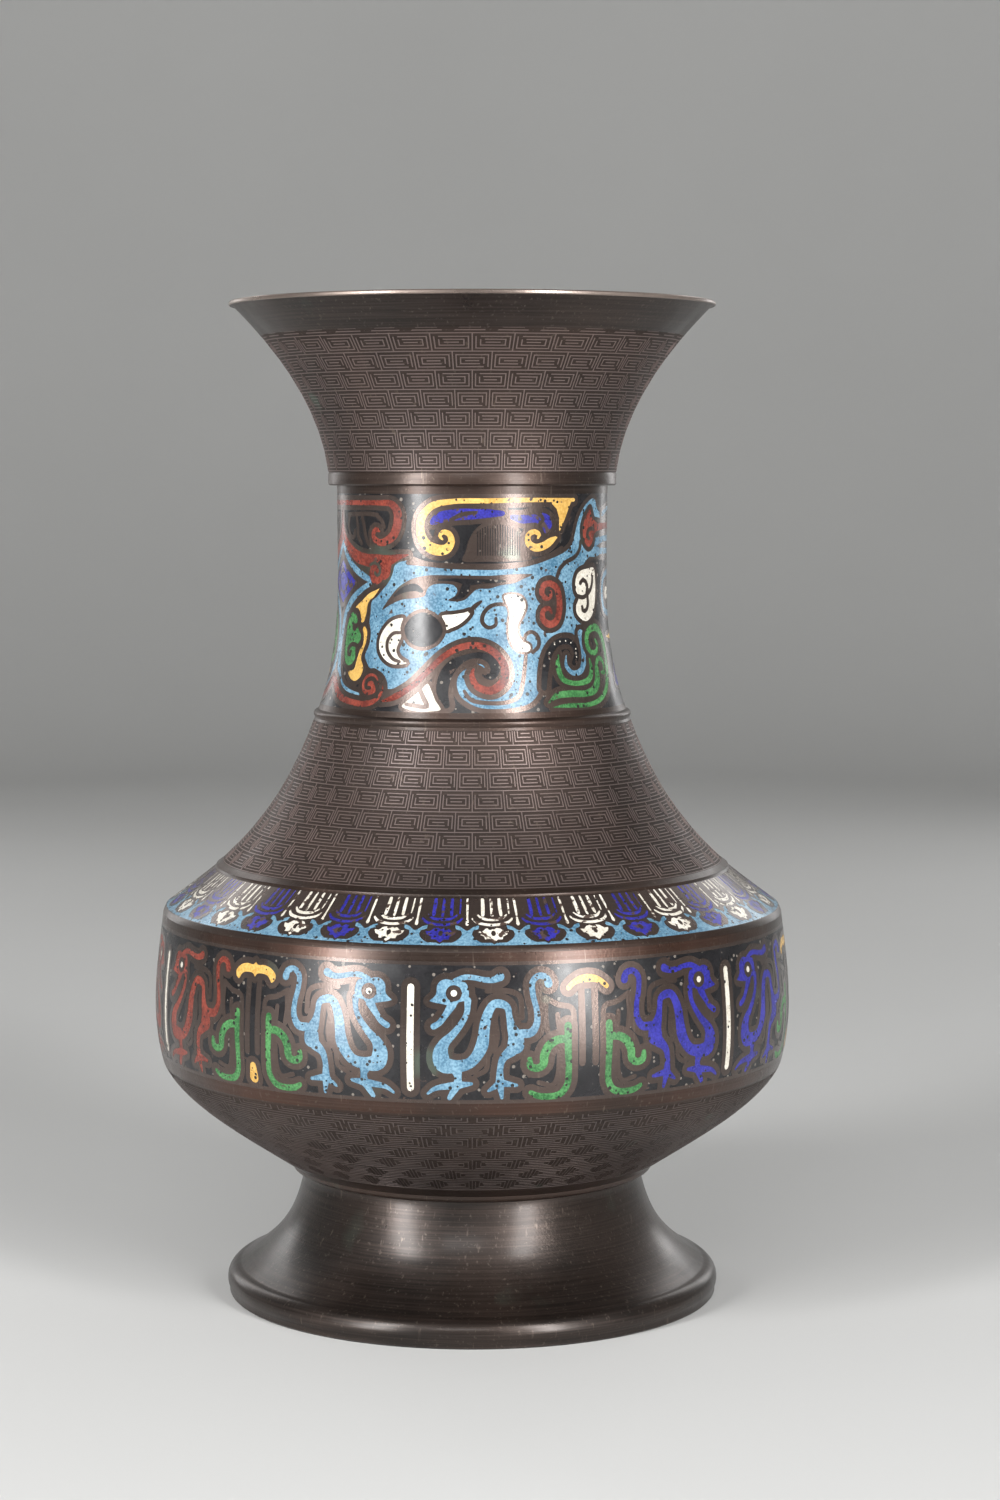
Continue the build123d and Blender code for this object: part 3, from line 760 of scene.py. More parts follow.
@dataclass
class Drawing:
    """A flat drawing cut into small triangles, each of one tint."""

    points: np.ndarray
    corners: np.ndarray
    tints: np.ndarray

    @staticmethod
    def cut(layers: Layers, left: float, right: float, low: float, high: float,
            ground: Tint, grid: float) -> "Drawing":
        """Cuts a rectangle along the outlines of the marks on it.

        Args:
            layers: the marks, each layer over the one before, rims under fills.
            left: the rectangle's left edge.
            right: its right edge.
            low: its lower edge.
            high: its upper edge.
            ground: the tint where there is no mark.
            grid: the distance between the points of the open ground.

        Returns:
            The drawing.
        """
        order = list(Tint)
        same_place, no_area = 0.02, 1e-7
        shapes: list[tuple[int, np.ndarray]] = []
        for layer in layers:
            for mark in layer:
                shapes += [(order.index(Tint.BRONZE), edge) for edge in mark.rims()]
            for mark in layer:
                shapes += [(order.index(mark.tint), edge) for edge in mark.fills()]
        across = np.linspace(left, right, int(math.ceil((right - left) / grid)) + 1)
        upward = np.linspace(low, high, int(math.ceil((high - low) / grid)) + 1)
        flat = [np.stack(np.meshgrid(across, upward), -1).reshape(-1, 2)]
        edges = []
        count = len(flat[0])
        for _, outline in shapes:
            held = np.clip(outline, (left, low), (right, high))
            held = held[np.linalg.norm(held - np.roll(held, 1, axis=0), axis=1) > same_place]
            if len(held) < 3:
                continue
            flat.append(held)
            edges += [(count + i, count + (i + 1) % len(held)) for i in range(len(held))]
            count += len(held)
        border = [(left, low), (right, low), (right, high), (left, high)]
        flat.append(np.array(border))
        edges += [(count + i, count + (i + 1) % 4) for i in range(4)]
        vectors = [Vector(point) for point in np.vstack(flat).tolist()]
        cut = delaunay_2d_cdt(vectors, edges, [], 0, 1e-4, False)
        points = np.array([tuple(v) for v in cut[0]])
        corners = np.array([tuple(f) for f in cut[2]])
        middle = points[corners].mean(1)
        tints = np.full(len(corners), order.index(ground))
        for tint, outline in shapes:
            tints[within(middle, outline)] = tint
        a, b, c = (points[corners[:, k]] for k in range(3))
        area = (b[:, 0] - a[:, 0]) * (c[:, 1] - a[:, 1]) - (b[:, 1] - a[:, 1]) * (c[:, 0] - a[:, 0])
        corners[area < 0] = corners[area < 0][:, ::-1]
        kept = np.abs(area) > no_area
        return Drawing(points - (left, 0.0), corners[kept], tints[kept])


@dataclass(frozen=True)
class Placing:
    """Where one copy of a drawing goes on the vase."""

    drawing: Drawing
    axis: float
    mirrored: bool = False
    stands_for: dict[Tint, Tint] = field(default_factory=dict)


class Band:
    """A champleve band: a bronze web with a cell for every patch of enamel."""

    def __init__(self, wall: Wall, reference: float, placings: Iterable[Placing],
                 cell: float, web: float) -> None:
        """Wraps the drawings on the wall.

        Args:
            wall: the wall that the band lies on.
            reference: the radius at which the drawing's widths are true.
            placings: where each drawing goes.
            cell: how deep the cells are sunk.
            web: how thick the bronze web is.
        """
        order = list(Tint)
        same_place = 0.004
        flat, corners, tints = [], [], []
        count = 0
        for placing in placings:
            side = -1.0 if placing.mirrored else 1.0
            angle = placing.axis + side * placing.drawing.points[:, 0] / reference
            flat.append(np.column_stack([np.mod(angle + 1e-7, TURN), placing.drawing.points[:, 1]]))
            faces = placing.drawing.corners + count
            corners.append(faces[:, ::-1] if placing.mirrored else faces)
            swap = np.arange(len(order))
            for old, new in placing.stands_for.items():
                swap[order.index(old)] = order.index(new)
            tints.append(swap[placing.drawing.tints])
            count += len(placing.drawing.points)
        flat_points = np.vstack(flat)
        radius = wall.radius(flat_points[:, 1])
        places = np.column_stack([radius * np.sin(flat_points[:, 0]),
                                  radius * np.cos(flat_points[:, 0]), flat_points[:, 1]])
        _, first, merged = np.unique(np.round(places / same_place).astype(np.int64), axis=0,
                                     return_index=True, return_inverse=True)
        self.angle, self.height = flat_points[first].T
        joined = merged.reshape(-1)[np.vstack(corners)]
        whole = ((joined[:, 0] != joined[:, 1]) & (joined[:, 1] != joined[:, 2])
                 & (joined[:, 0] != joined[:, 2]))
        self.corners = joined[whole]
        self.tints = np.concatenate(tints)[whole]
        self.wall, self.cell, self.web = wall, cell, web

    def _rim_edges(self, chosen: np.ndarray) -> np.ndarray:
        """The edges that only one of the chosen triangles has, in its turning order."""
        faces = self.corners[chosen]
        edges = np.vstack([faces[:, (0, 1)], faces[:, (1, 2)], faces[:, (2, 0)]])
        size = len(self.angle)
        return edges[~np.isin(edges[:, 0] * size + edges[:, 1], edges[:, 1] * size + edges[:, 0])]

    def _levels(self, *depths: float) -> np.ndarray:
        """All the points of the band at each depth, one level after another."""
        return np.vstack([self.wall.wrap(self.angle, self.height, depth) for depth in depths])

    @staticmethod
    def _tidy(points: np.ndarray, faces: Sequence[Sequence[int]]) -> tuple[np.ndarray, list]:
        """Leaves out the points that no face uses."""
        used = sorted({corner for face in faces for corner in face})
        number = {old: new for new, old in enumerate(used)}
        return points[used], [tuple(number[corner] for corner in face) for face in faces]

    def enamel(self, name: str, tint: Tint, worn: float = 0.0,
               sunk: float = 0.04) -> Piece:
        """The enamel of one tint, as closed fills that stand on the floors of their cells.

        Args:
            name: the piece's name.
            tint: which enamel.
            worn: how much more of it has gone than on the rest of the vase.
            sunk: how far its top lies under the bronze.

        Returns:
            The new object.
        """
        chosen = self.tints == list(Tint).index(tint)
        size = len(self.angle)
        top = self.corners[chosen]
        faces = top.tolist() + (top[:, ::-1] + size).tolist()
        faces += [(a, a + size, b + size, b) for a, b in self._rim_edges(chosen).tolist()]
        points, faces = self._tidy(self._levels(sunk, self.cell), faces)
        finish = ENAMELS[tint]
        if worn:
            finish = replace(finish, name=f"{finish.name}_worn", worn=worn)
        return make_piece(name, points, faces, PAINTS.of(finish))

    def bronze(self, name: str, material: bpy.types.Material) -> Piece:
        """The bronze web with its cells.

        Args:
            name: the piece's name.
            material: what it is made of.

        Returns:
            The new object.
        """
        solid = self.tints == list(Tint).index(Tint.BRONZE)
        size = len(self.angle)
        faces = (self.corners[solid].tolist() + (self.corners[~solid] + size).tolist()
                 + (self.corners[:, ::-1] + 2 * size).tolist())
        outer = {tuple(e) for e in self._rim_edges(np.ones(len(self.corners), bool)).tolist()}
        for a, b in self._rim_edges(solid).tolist():
            foot = 2 * size if (a, b) in outer else size
            faces.append((a, a + foot, b + foot, b))
        for a, b in self._rim_edges(~solid).tolist():
            if (a, b) in outer:
                faces.append((a + size, a + 2 * size, b + 2 * size, b + size))
        points, faces = self._tidy(self._levels(0.0, self.cell, self.web), faces)
        return make_piece(name, points, faces, material)


# ---- the meander rows


@dataclass(frozen=True)
class Term:
    """A number in a geometry tree that can stand in a plain sum."""

    tree: bpy.types.GeometryNodeTree
    value: Union[float, Socket]

    def does(self, operation: str, *others: Union["Term", float]) -> "Term":
        """Adds one step of the sum.

        Args:
            operation: what is done.
            others: the other numbers that it is done with.

        Returns:
            The result.
        """
        node = self.tree.nodes.new("ShaderNodeMath")
        node.operation = operation
        for slot, part in enumerate((self, *others)):
            value = part.value if isinstance(part, Term) else part
            if isinstance(value, Socket):
                self.tree.links.new(value, node.inputs[slot])
            else:
                node.inputs[slot].default_value = value
        return Term(self.tree, node.outputs[0])

    def __add__(self, other: Union["Term", float]) -> "Term":
        """This number and another."""
        return self.does("ADD", other)

    def __sub__(self, other: Union["Term", float]) -> "Term":
        """This number less another."""
        return self.does("SUBTRACT", other)

    def __rsub__(self, other: float) -> "Term":
        """Another number less this one."""
        return Term(self.tree, other).does("SUBTRACT", self)

    def __mul__(self, other: Union["Term", float]) -> "Term":
        """This number times another."""
        return self.does("MULTIPLY", other)

    def __truediv__(self, other: Union["Term", float]) -> "Term":
        """This number shared by another."""
        return self.does("DIVIDE", other)


class RowTree:
    """Geometry nodes that repeat one raised unit in rows round a turned wall."""

    SIZES: dict[str, str] = {
        "Units": "NodeSocketInt",
        **dict.fromkeys(("Rows", "Turned", "Band low", "Band high", "Ease", "Relief",
                         "Low radius", "Low height", "Low slope", "High radius", "High height",
                         "High slope"), "NodeSocketFloat"),
        "Metal": "NodeSocketMaterial",
    }

    def __init__(self) -> None:
        """Builds the tree with its named sizes."""
        self.tree = bpy.data.node_groups.new("rows_round_a_wall", "GeometryNodeTree")
        face = self.tree.interface
        face.new_socket("Geometry", in_out="INPUT", socket_type="NodeSocketGeometry")
        face.new_socket("Geometry", in_out="OUTPUT", socket_type="NodeSocketGeometry")
        self.keys = {name: face.new_socket(name, in_out="INPUT", socket_type=kind).identifier
                     for name, kind in self.SIZES.items()}
        self.given = self._node("NodeGroupInput").outputs
        units, rows = self._size("Units"), self._size("Rows")
        index = Term(self.tree, self._node("GeometryNodeInputIndex").outputs[0])
        row = (index / units).does("FLOOR")
        odd = row - (row / 2.0).does("FLOOR") * 2.0
        spots = self._node("GeometryNodePoints", {
            "Count": (units * rows.does("CEIL")).value,
            "Position": self._vector(index - row * units + odd * 0.5 + 0.5, row + 0.5, 0.0),
        })
        laid = self._node("GeometryNodeInstanceOnPoints", {
            "Points": spots.outputs[0], "Instance": self.given["Geometry"],
            "Rotation": self._vector(0.0, 0.0, odd * self._size("Turned") * math.pi),
        })
        real = self._node("GeometryNodeRealizeInstances", {"Geometry": laid.outputs[0]})
        apart = self._node("ShaderNodeSeparateXYZ", {
            "Vector": self._node("GeometryNodeInputPosition").outputs[0],
        })
        across, up, level = (Term(self.tree, socket) for socket in apart.outputs)
        kept = self._node("GeometryNodeDeleteGeometry", {
            "Geometry": real.outputs[0], "Selection": up.does("GREATER_THAN", rows).value,
        }, domain="FACE")
        moved = self._node("GeometryNodeSetPosition", {
            "Geometry": kept.outputs[0], "Position": self._on_wall(across, up, level),
        })
        metal = self._node("GeometryNodeSetMaterial", {
            "Geometry": moved.outputs[0], "Material": self.given["Metal"],
        })
        self._node("NodeGroupOutput", {"Geometry": metal.outputs[0]})

    def _node(self, kind: str, feeds: Optional[dict] = None, **settings: object) -> bpy.types.Node:
        """Adds a node and links what feeds it.

        Args:
            kind: the node's type.
            feeds: input name to the socket that feeds it.
            settings: properties of the node.

        Returns:
            The new node.
        """
        node = self.tree.nodes.new(kind)
        for key, value in settings.items():
            setattr(node, key, value)
        for key, socket in (feeds or {}).items():
            self.tree.links.new(socket, node.inputs[key])
        return node

    def _size(self, name: str) -> Term:
        """One of the named sizes."""
        return Term(self.tree, self.given[name])

    def _vector(self, *parts: Union[Term, float]) -> Socket:
        """Three numbers joined to a vector."""
        node = self.tree.nodes.new("ShaderNodeCombineXYZ")
        for slot, part in enumerate(parts):
            if isinstance(part, Term):
                self.tree.links.new(part.value, node.inputs[slot])
            else:
                node.inputs[slot].default_value = part
        return node.outputs[0]

    def _radius(self, along: Term) -> Term:
        """The wall's radius at a share of its height."""
        span = self._size("High height") - self._size("Low height")
        back = 1.0 - along
        low = back * back * ((along * 2.0 + 1.0) * self._size("Low radius")
                             + along * span * self._size("Low slope"))
        high = along * along * ((back * 2.0 + 1.0) * self._size("High radius")
                                - back * span * self._size("High slope"))
        return low + high

    def _on_wall(self, across: Term, up: Term, level: Term) -> Socket:
        """Where a point of the flat rows comes to lie.

        Args:
            across: its place in units round the wall.
            up: its place in rows up the wall.
            level: 1 on top of a ridge, 0 on the ground between ridges.

        Returns:
            The place in metres.
        """
        nudge = 0.002
        share = (up / self._size("Rows")).does("MINIMUM", 1.0).does("MAXIMUM", 0.0)
        eased = share + share * (1.0 - share) * self._size("Ease")
        low, high = self._size("Band low"), self._size("Band high")
        height = low + (high - low) * eased
        span = self._size("High height") - self._size("Low height")
        along = (height - self._size("Low height")) / span
        slope = (self._radius(along + nudge) - self._radius(along - nudge)) / (span * (2 * nudge))
        length = (slope * slope + 1.0).does("SQRT")
        depth = (1.0 - level) * self._size("Relief") / length
        out = (self._radius(along) - depth) * MM
        angle = across / self._size("Units") * TURN
        return self._vector(out * angle.does("SINE"), out * angle.does("COSINE") * -1.0,
                            (height + depth * slope) * MM)


def ridge_unit(name: str, paths: Sequence[Sequence[Point]], unit: Point,
               half: float, foot: float) -> Piece:
    """One repeated unit: flat-topped ridges with sloping sides, closed below.

    Args:
        name: the object's name.
        paths: the middle lines of the ridges, in shares of the unit.
        unit: how wide and high the unit is on the wall.
        half: half the width of a ridge on top.
        foot: half its width at the foot.

    Returns:
        The unit about its own middle, one wide and one high.
    """
    points: list[tuple[float, float, float]] = []
    faces: list[tuple[int, ...]] = []
    size, below = np.array(unit), -0.4
    for path in paths:
        line = np.array(path) * size
        run = np.diff(line, axis=0)
        run /= np.linalg.norm(run, axis=1)[:, None]
        side = np.stack([-run[:, 1], run[:, 0]], 1)
        start = len(points)
        for step, spot in enumerate(line):
            before, after = side[max(step - 1, 0)], side[min(step, len(run) - 1)]
            lean = (before + after) / (1.0 + before @ after)
            for width, level in ((half, 1.0), (-half, 1.0), (-foot, below), (foot, below)):
                place = (spot + lean * width) / size - 0.5
                points.append((float(place[0]), float(place[1]), level))
        for here in range(start, len(points) - 4, 4):
            faces += [(here + k, here + (k + 1) % 4, here + 4 + (k + 1) % 4, here + 4 + k)
                      for k in range(4)]
        end = len(points) - 4
        faces += [(start, start + 3, start + 2, start + 1), (end, end + 1, end + 2, end + 3)]
    mesh = bpy.data.meshes.new(name)
    mesh.from_pydata(points, [], faces)
    unit_object = bpy.data.objects.new(name, mesh)
    bpy.context.scene.collection.objects.link(unit_object)
    return unit_object


KEY_PATHS = (
    ((0.32, 0.50), (0.50, 0.50), (0.68, 0.50)),
    ((0.20, 0.66), (0.20, 0.34), (0.50, 0.34), (0.80, 0.34), (0.80, 0.66), (0.50, 0.66),
     (0.30, 0.66)),
    ((0.09, 0.82), (0.09, 0.18), (0.50, 0.18), (0.91, 0.18), (0.91, 0.82), (0.50, 0.82),
     (0.20, 0.82)),
)
LATTICE_PATHS = (
    ((0.0, 0.015), (0.25, 0.015), (0.5, 0.015), (0.75, 0.015), (1.0, 0.015)),
    ((0.0, 0.03), (0.0, 0.99)),
)


@dataclass
class Meander:
    """Rows of squared spirals cast in low relief on a turned wall."""

    name: str
    line: WallLine
    low: float
    high: float
    rows: float
    units: int
    ease: float
    relief: float = 0.09
    half: float = 0.15
    foot: float = 0.16
    finish: BronzeFinish = MEANDER_BRONZE

    def _lay(self, name: str, paths: Sequence[Sequence[Point]], turned: float,
             rows: RowTree) -> Piece:
        """Lays one unit in all its places and keeps the result as a plain mesh.

        Args:
            name: the piece's name.
            paths: the unit's ridges.
            turned: 1 where every other row is turned upside down, 0 where none is.
            rows: the node tree that lays them.

        Returns:
            The piece.
        """
        middle = float(self.line.radius(np.array((self.low + self.high) / 2)))
        (low_radius, low), (high_radius, high) = self.line.low, self.line.high
        lean = math.hypot(1.0, (high_radius - low_radius) / (high - low))
        unit = (TURN * middle / self.units, lean * (self.high - self.low) / self.rows)
        piece = ridge_unit(name, paths, unit, self.half, self.foot)
        modifier = piece.modifiers.new("rows", "NODES")
        modifier.node_group = rows.tree
        sizes = (self.units, self.rows, turned, self.low, self.high, self.ease, self.relief,
                 low_radius, low, self.line.low_slope, high_radius, high, self.line.high_slope,
                 PAINTS.of(self.finish))
        for key, size in zip(rows.SIZES, sizes):
            modifier[rows.keys[key]] = size
        graph = bpy.context.evaluated_depsgraph_get()
        laid = bpy.data.meshes.new_from_object(piece.evaluated_get(graph))
        piece.modifiers.remove(modifier)
        piece.data = laid
        laid.name = name
        if not laid.materials:
            laid.materials.append(PAINTS.of(self.finish))
        return piece

    def build(self, rows: RowTree) -> list[Piece]:
        """The spirals and the lines between them.

        Args:
            rows: the node tree that lays them.

        Returns:
            The two pieces.
        """
        return [self._lay(f"{self.name}_keys", KEY_PATHS, 1.0, rows),
                self._lay(f"{self.name}_lines", LATTICE_PATHS, 0.0, rows)]


# ---- the sub-assemblies


def settle(piece: Piece, slot: str, *nodes: str) -> Piece:
    """Lets a piece ride on the vase and stand for nodes of the frame.

    Args:
        piece: the shown object.
        slot: not used.
        nodes: the nodes that it takes the place of.

    Returns:
        The same piece.
    """
    if nodes:
        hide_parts(*nodes)
    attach(piece, "root")
    return piece


def enamels(band: Band, part: str, nodes: dict[Tint, tuple[str, ...]],
            worn: Sequence[Tint] = ()) -> list[Piece]:
    """All the enamels of a band.

    Args:
        band: the enamelled band.
        part: the first word of the pieces' names.
        nodes: each tint, with the nodes that its piece stands for.
        worn: the tints that are rubbed through in places.

    Returns:
        One piece for each tint.
    """
    return [settle(band.enamel(f"{part}_{tint.value}", tint, WORN if tint in worn else 0.0),
                   f"enamel_{tint.value}", *stood_for) for tint, stood_for in nodes.items()]


FOOT_WALL = WallLine((72.0, 9.0), -1.65, (52.4, 36.5), -0.25)
BOWL_WALL = WallLine((56.2, 40.6), 1.5, (95.7, 73.1), 0.42)
DRUM_WALL = WallLine((95.7, 73.1), 0.28, (95.4, 119.2), -0.12)
SLOPE_WALL = WallLine((94.6, 121.0), -1.398, (79.3, 132.6), -1.240)
SHOULDER_WALL = WallLine((77.3, 134.6), -1.1, (48.5, 178.7), -0.38)
NECK_LOW_WALL = WallLine((47.4, 181.3), -0.37, (41.3, 222.0), 0.0)
NECK_HIGH_WALL = WallLine((41.3, 222.0), 0.0, (41.5, 249.6), 0.012)
NECK_WALL = Wall((NECK_LOW_WALL, NECK_HIGH_WALL))
MOUTH_WALL = WallLine((44.15, 253.6), 0.12, (72.9, 303.9), 1.0)
METAL = 2.6
WEB = 0.9
CELL = 0.5
GROOVE = WEB - 0.06
WORN = 0.12


def inner(place: Point) -> Point:
    """The place on the inside of the wall that lies level with one on its outside."""
    return place[0] - METAL, place[1]


def inside(line: WallLine, low: float, high: float) -> list[Point]:
    """Points down the inner face of a wall."""
    return Wall((line,)).outline(low, high, METAL, 2.0)[::-1]


@dataclass
class Foot:
    """The flared foot with its rolled lip, and the plate let in under it."""

    ring_inner: float = 69.0
    ring_radius: float = 75.2
    ledge: float = 6.5
    lip_radius: float = 76.3
    roll: float = 4.6
    roll_height: float = 4.2
    neck_radius: float = 52.4
    height: float = 38.5

    def mesh(self) -> Piece:
        """The foot's casting."""
        lip = [(self.ring_radius, 0.0), (self.ring_radius + 0.5, 0.5)]
        for step in range(1, 12):
            turn = math.radians(-40 + step * 11)
            lip.append((self.lip_radius - self.roll + self.roll * math.cos(turn),
                        self.roll_height + self.roll * math.sin(turn)))
        low, high = FOOT_WALL.low[1], FOOT_WALL.high[1]
        top = (self.neck_radius, self.height)
        section = (lip + Wall((FOOT_WALL,)).outline(low, high, 0.0, 1.6) + [top, inner(top)]
                   + inside(FOOT_WALL, low, high)
                   + [(self.ring_inner, self.ledge), (self.ring_inner, 0.0)])
        # The foot takes the darker bronze: painted shade.
        return lathe("foot_casting", section, PAINTS.of(SHADED_FOOT_BRONZE))

    def build(self) -> list[Piece]:
        """The foot, and the base plate's own node with its finish."""
        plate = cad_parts["base_plate"]
        plate.data.materials.clear()
        plate.data.materials.append(PAINTS.of(BRONZE))
        return [settle(self.mesh(), "bronze", "foot")]


@dataclass
class Bowl:
    """The lower body, with the bead over the foot and meander rows on its flank."""

    seam: float = 38.5
    bead_radius: float = 54.5
    bead_stand: float = 0.55
    inner_top: float = 72.6
    meander_low: float = 43.6
    meander_high: float = 72.4
    # The bowl's meander takes the darker copy of the meander bronze: painted shade.
    meander: Meander = field(default_factory=lambda: Meander(
        "bowl_meander", BOWL_WALL, 43.8, 72.2, 6.5, 39, 0.0, finish=SHADED_MEANDER_BRONZE))

    def mesh(self) -> Piece:
        """The bowl's casting, sunk where the meander stands on it."""
        low, lip = BOWL_WALL.low, BOWL_WALL.high
        seam = (self.bead_radius, self.seam)
        section = (bead(seam, low, self.bead_stand)
                   + Wall((BOWL_WALL,)).grooved(low[1], self.meander_low, self.meander_high,
                                                lip[1], self.meander.relief)
                   + [inner(lip)] + inside(BOWL_WALL, low[1], self.inner_top) + [inner(seam)])
        casting = lathe("bowl_casting", section, PAINTS.of(BRONZE))
        return blacken(casting, self.meander_low, self.meander_high, PAINTS.of(GROUND_BRONZE))

    def build(self, rows: RowTree) -> list[Piece]:
        """The casting and its meander."""
        return [settle(self.mesh(), "bronze", "bowl"),
                *(settle(piece, "bronze") for piece in self.meander.build(rows))]


@dataclass
class Belly:
    """The belly's enamelled drum: birds in pairs, with scrolls between the pairs."""

    reference: float = 97.0
    band_low: float = 76.5
    band_high: float = 116.7
    inner_low: float = 73.4
    inner_high: float = 119.0
    first_bar: float = -10.3
    panels: int = 6
    rim: float = 1.5
    fuller: float = 0.38
    grid: float = 2.2

    @property
    def half_panel(self) -> float:
        """The width from a bar to the middle of the panel."""
        return self.reference * math.pi / self.panels

    def _bird(self) -> list[Mark]:
        """The long-necked bird that looks towards the bar of its panel."""
        head = ((5.1, 105.7), (6.9, 107.6), (7.2, 110.2), (8.3, 111.6), (10, 112.2), (12.2, 111.7),
                (15.8, 111.1), (16.6, 109.5), (16.8, 107.6), (16.2, 105.8), (13.8, 105.2),
                (12.8, 104.1), (9.1, 104.6))
        strokes = (
            ((12.5, 111.3, .7), (15.2, 112.4, .7), (18, 112.3, .65), (21, 111.7, .7),
             (23.5, 111.7, .8), (25.4, 112.5, 1.1)),
            ((11.8, 104.8, 1.2), (9.9, 101.8, .8), (8.2, 99.6, .75), (6.6, 98.6, .8)),
            ((16.2, 106, .9), (15.9, 102.5, .7), (14.2, 99.2, .8), (11.8, 96.2, 1.0),
             (9.6, 93.9, 1.4), (8.6, 91, 2.1), (9.4, 88, 2.3), (12.6, 87.4, 1.8), (16.4, 88.2, 1.5),
             (18.6, 90.3, 1.5), (20.1, 93.3, 1.7), (20.6, 96.1, 1.5), (21, 99.4, 1.4),
             (22, 102.8, 1.2), (23.5, 104.9, 1.1), (25.5, 105, 1.1), (27.3, 104, .9),
             (27.8, 101.5, .8), (28.4, 98.6, 1.2), (29.6, 95.4, 2.1), (29.6, 93.2, 2.3)),
            ((31, 96.5, 1.2), (34, 96.8, 1.1), (35.6, 99.4, .9), (35.6, 103, .75),
             (34.6, 107.5, .75), (34.6, 111, .8), (36.4, 112.6, .8), (38.6, 112, .9),
             (39.2, 110.3, 1.1)),
            ((28.4, 91.8, 1.6), (26, 89.6, 1.0), (25.2, 86.5, .8), (25.2, 82.5, 1.2)),
            ((25.2, 82.5, 1.1), (22, 80.3, .3)), ((25.3, 82.6, 1.1), (29.9, 81.8, .4)),
            ((25.2, 82.5, 1.1), (25.8, 78.2, .4)),
            ((13, 86.8, 1.7), (13.5, 84, .9), (13.3, 82, 1.3)),
            ((13.3, 82, 1.1), (7, 80.9, .6), (4.9, 79.4, .3)), ((13.3, 82, 1.1), (11, 78.2, .6)),
            ((13.4, 82, 1.1), (17.2, 82.4, .4)),
        )
        full = [tuple((x, z, half + self.fuller) for x, z, half in path) for path in strokes]
        return [patch(Tint.BIRD, *head, rim=self.rim),
                *(stroke(Tint.BIRD, *path, rim=self.rim) for path in full)]

    def _middle(self, capped: bool) -> list[Mark]:
        """The scrolls and the cap in the middle of a panel.

        Args:
            capped: whether it has the pointed cap and the drop.

        Returns:
            The marks, measured from the bar.
        """
        marks = [
            stroke(Tint.BRONZE, (2, 87.5, 1), (2, 109, 1)),
            stroke(Tint.BRONZE, (12.7, 106.4, .8), (9, 104.4, .8), (5, 103.2, .8), (4.4, 98, .8),
                   (4.2, 84, .8)),
            stroke(Tint.BRONZE, (12.5, 106, .8), (12.7, 101, .8), (12.2, 97, .8)),
            stroke(Tint.BRONZE, (9.2, 101.6, .7), (8.9, 98, .75)),
            stroke(Tint.BRONZE, (8.8, 90.6, .7), (9.2, 84, .8), (10.6, 81.6, .7), (14.6, 82.4, .7)),
            stroke(Tint.GREEN, (6.2, 98.4, 1.38), (6.2, 92, 1.33), (6, 86, 1.23), (6.3, 81.5, 1.28),
                   (8.2, 78.9, 1.33), (11.5, 78.2, 1.28), (15, 78.6, 1.23), (16.8, 79.6, .98),
                   rim=self.rim),
            stroke(Tint.GREEN, (6.6, 94.6, 1.38), (9.2, 94.5, 1.48), (11.8, 92.9, 1.58),
                   (13.1, 90.2, 1.58), (13.4, 87.6, 1.48), (15, 86.6, 1.38), (17, 87.2, 1.38),
                   (17.3, 89.2, 1.08), rim=self.rim),
        ]
        if capped:
            marks += [
                patch(Tint.YELLOW, (0, 113.6), (1, 112.8), (3.2, 113), (6.2, 112.2), (8.2, 110.2),
                      (7.8, 108.4), (6.4, 107.6), (5.6, 108.6), (4.6, 109.6), (2, 109.9),
                      (.8, 109.6), (0, 108.6), (-3, 110), (-3, 113), rim=self.rim),
                stroke(Tint.YELLOW, (0, 83.2, 1.5), (0, 79.9, 2), rim=self.rim),
            ]
        else:
            marks += [
                stroke(Tint.YELLOW, (-1, 111.4, 1.5), (2, 111.2, 1.35), (4.2, 110.3, 1.1),
                       (5.8, 108.9, 1.05), rim=self.rim),
            ]
        return set_off(marks, self.half_panel, -1.0)

    def _drawing(self, capped: bool) -> Drawing:
        """Half a panel, from its bar to its middle."""
        bars = [stroke(Tint.WHITE, (0, 80.9, 1.3), (0, 95, 1.3), (0, 109.5, 1.3), rim=self.rim)]
        edges = [
            *(stroke(Tint.BRONZE, (-2, z, .8), (26, z, .8), (53, z, .8)) for z in (76.8, 116.5)),
            stroke(Tint.BRONZE, (21.6, 108.6, .75), (25.4, 108.8, .8), (30.6, 107.2, .8),
                   (31.4, 101, .8)),
            stroke(Tint.BRONZE, (23.8, 100.8, .7), (24.4, 96, .75), (23.6, 91.6, .7)),
            stroke(Tint.BRONZE, (18.4, 84.8, .7), (21.2, 86.4, .75), (21.8, 90, .7)),
        ]
        eye = [dot(Tint.BRONZE, 12.25, 107.95, 2.3)]
        glint = [dot(Tint.WHITE, 12.25, 107.95, .95, 0.0)]
        return Drawing.cut([edges, self._middle(capped), bars, self._bird(), eye, glint], 0.0,
                           self.half_panel, self.band_low, self.band_high, Tint.BLACK, self.grid)

    def band(self) -> Band:
        """All the panels round the drum."""
        capped, plain = self._drawing(True), self._drawing(False)
        tints = (Tint.TURQUOISE, Tint.BLUE, Tint.RED)
        placings = []
        for bar in range(self.panels):
            axis = math.radians(self.first_bar) + TURN * bar / self.panels
            swap = {Tint.BIRD: tints[bar % 3]}
            right, left = (plain, capped) if bar % 2 == 0 else (capped, plain)
            placings += [Placing(right, axis, False, swap), Placing(left, axis, True, swap)]
        return Band(Wall((DRUM_WALL,)), self.reference, placings, CELL, WEB)

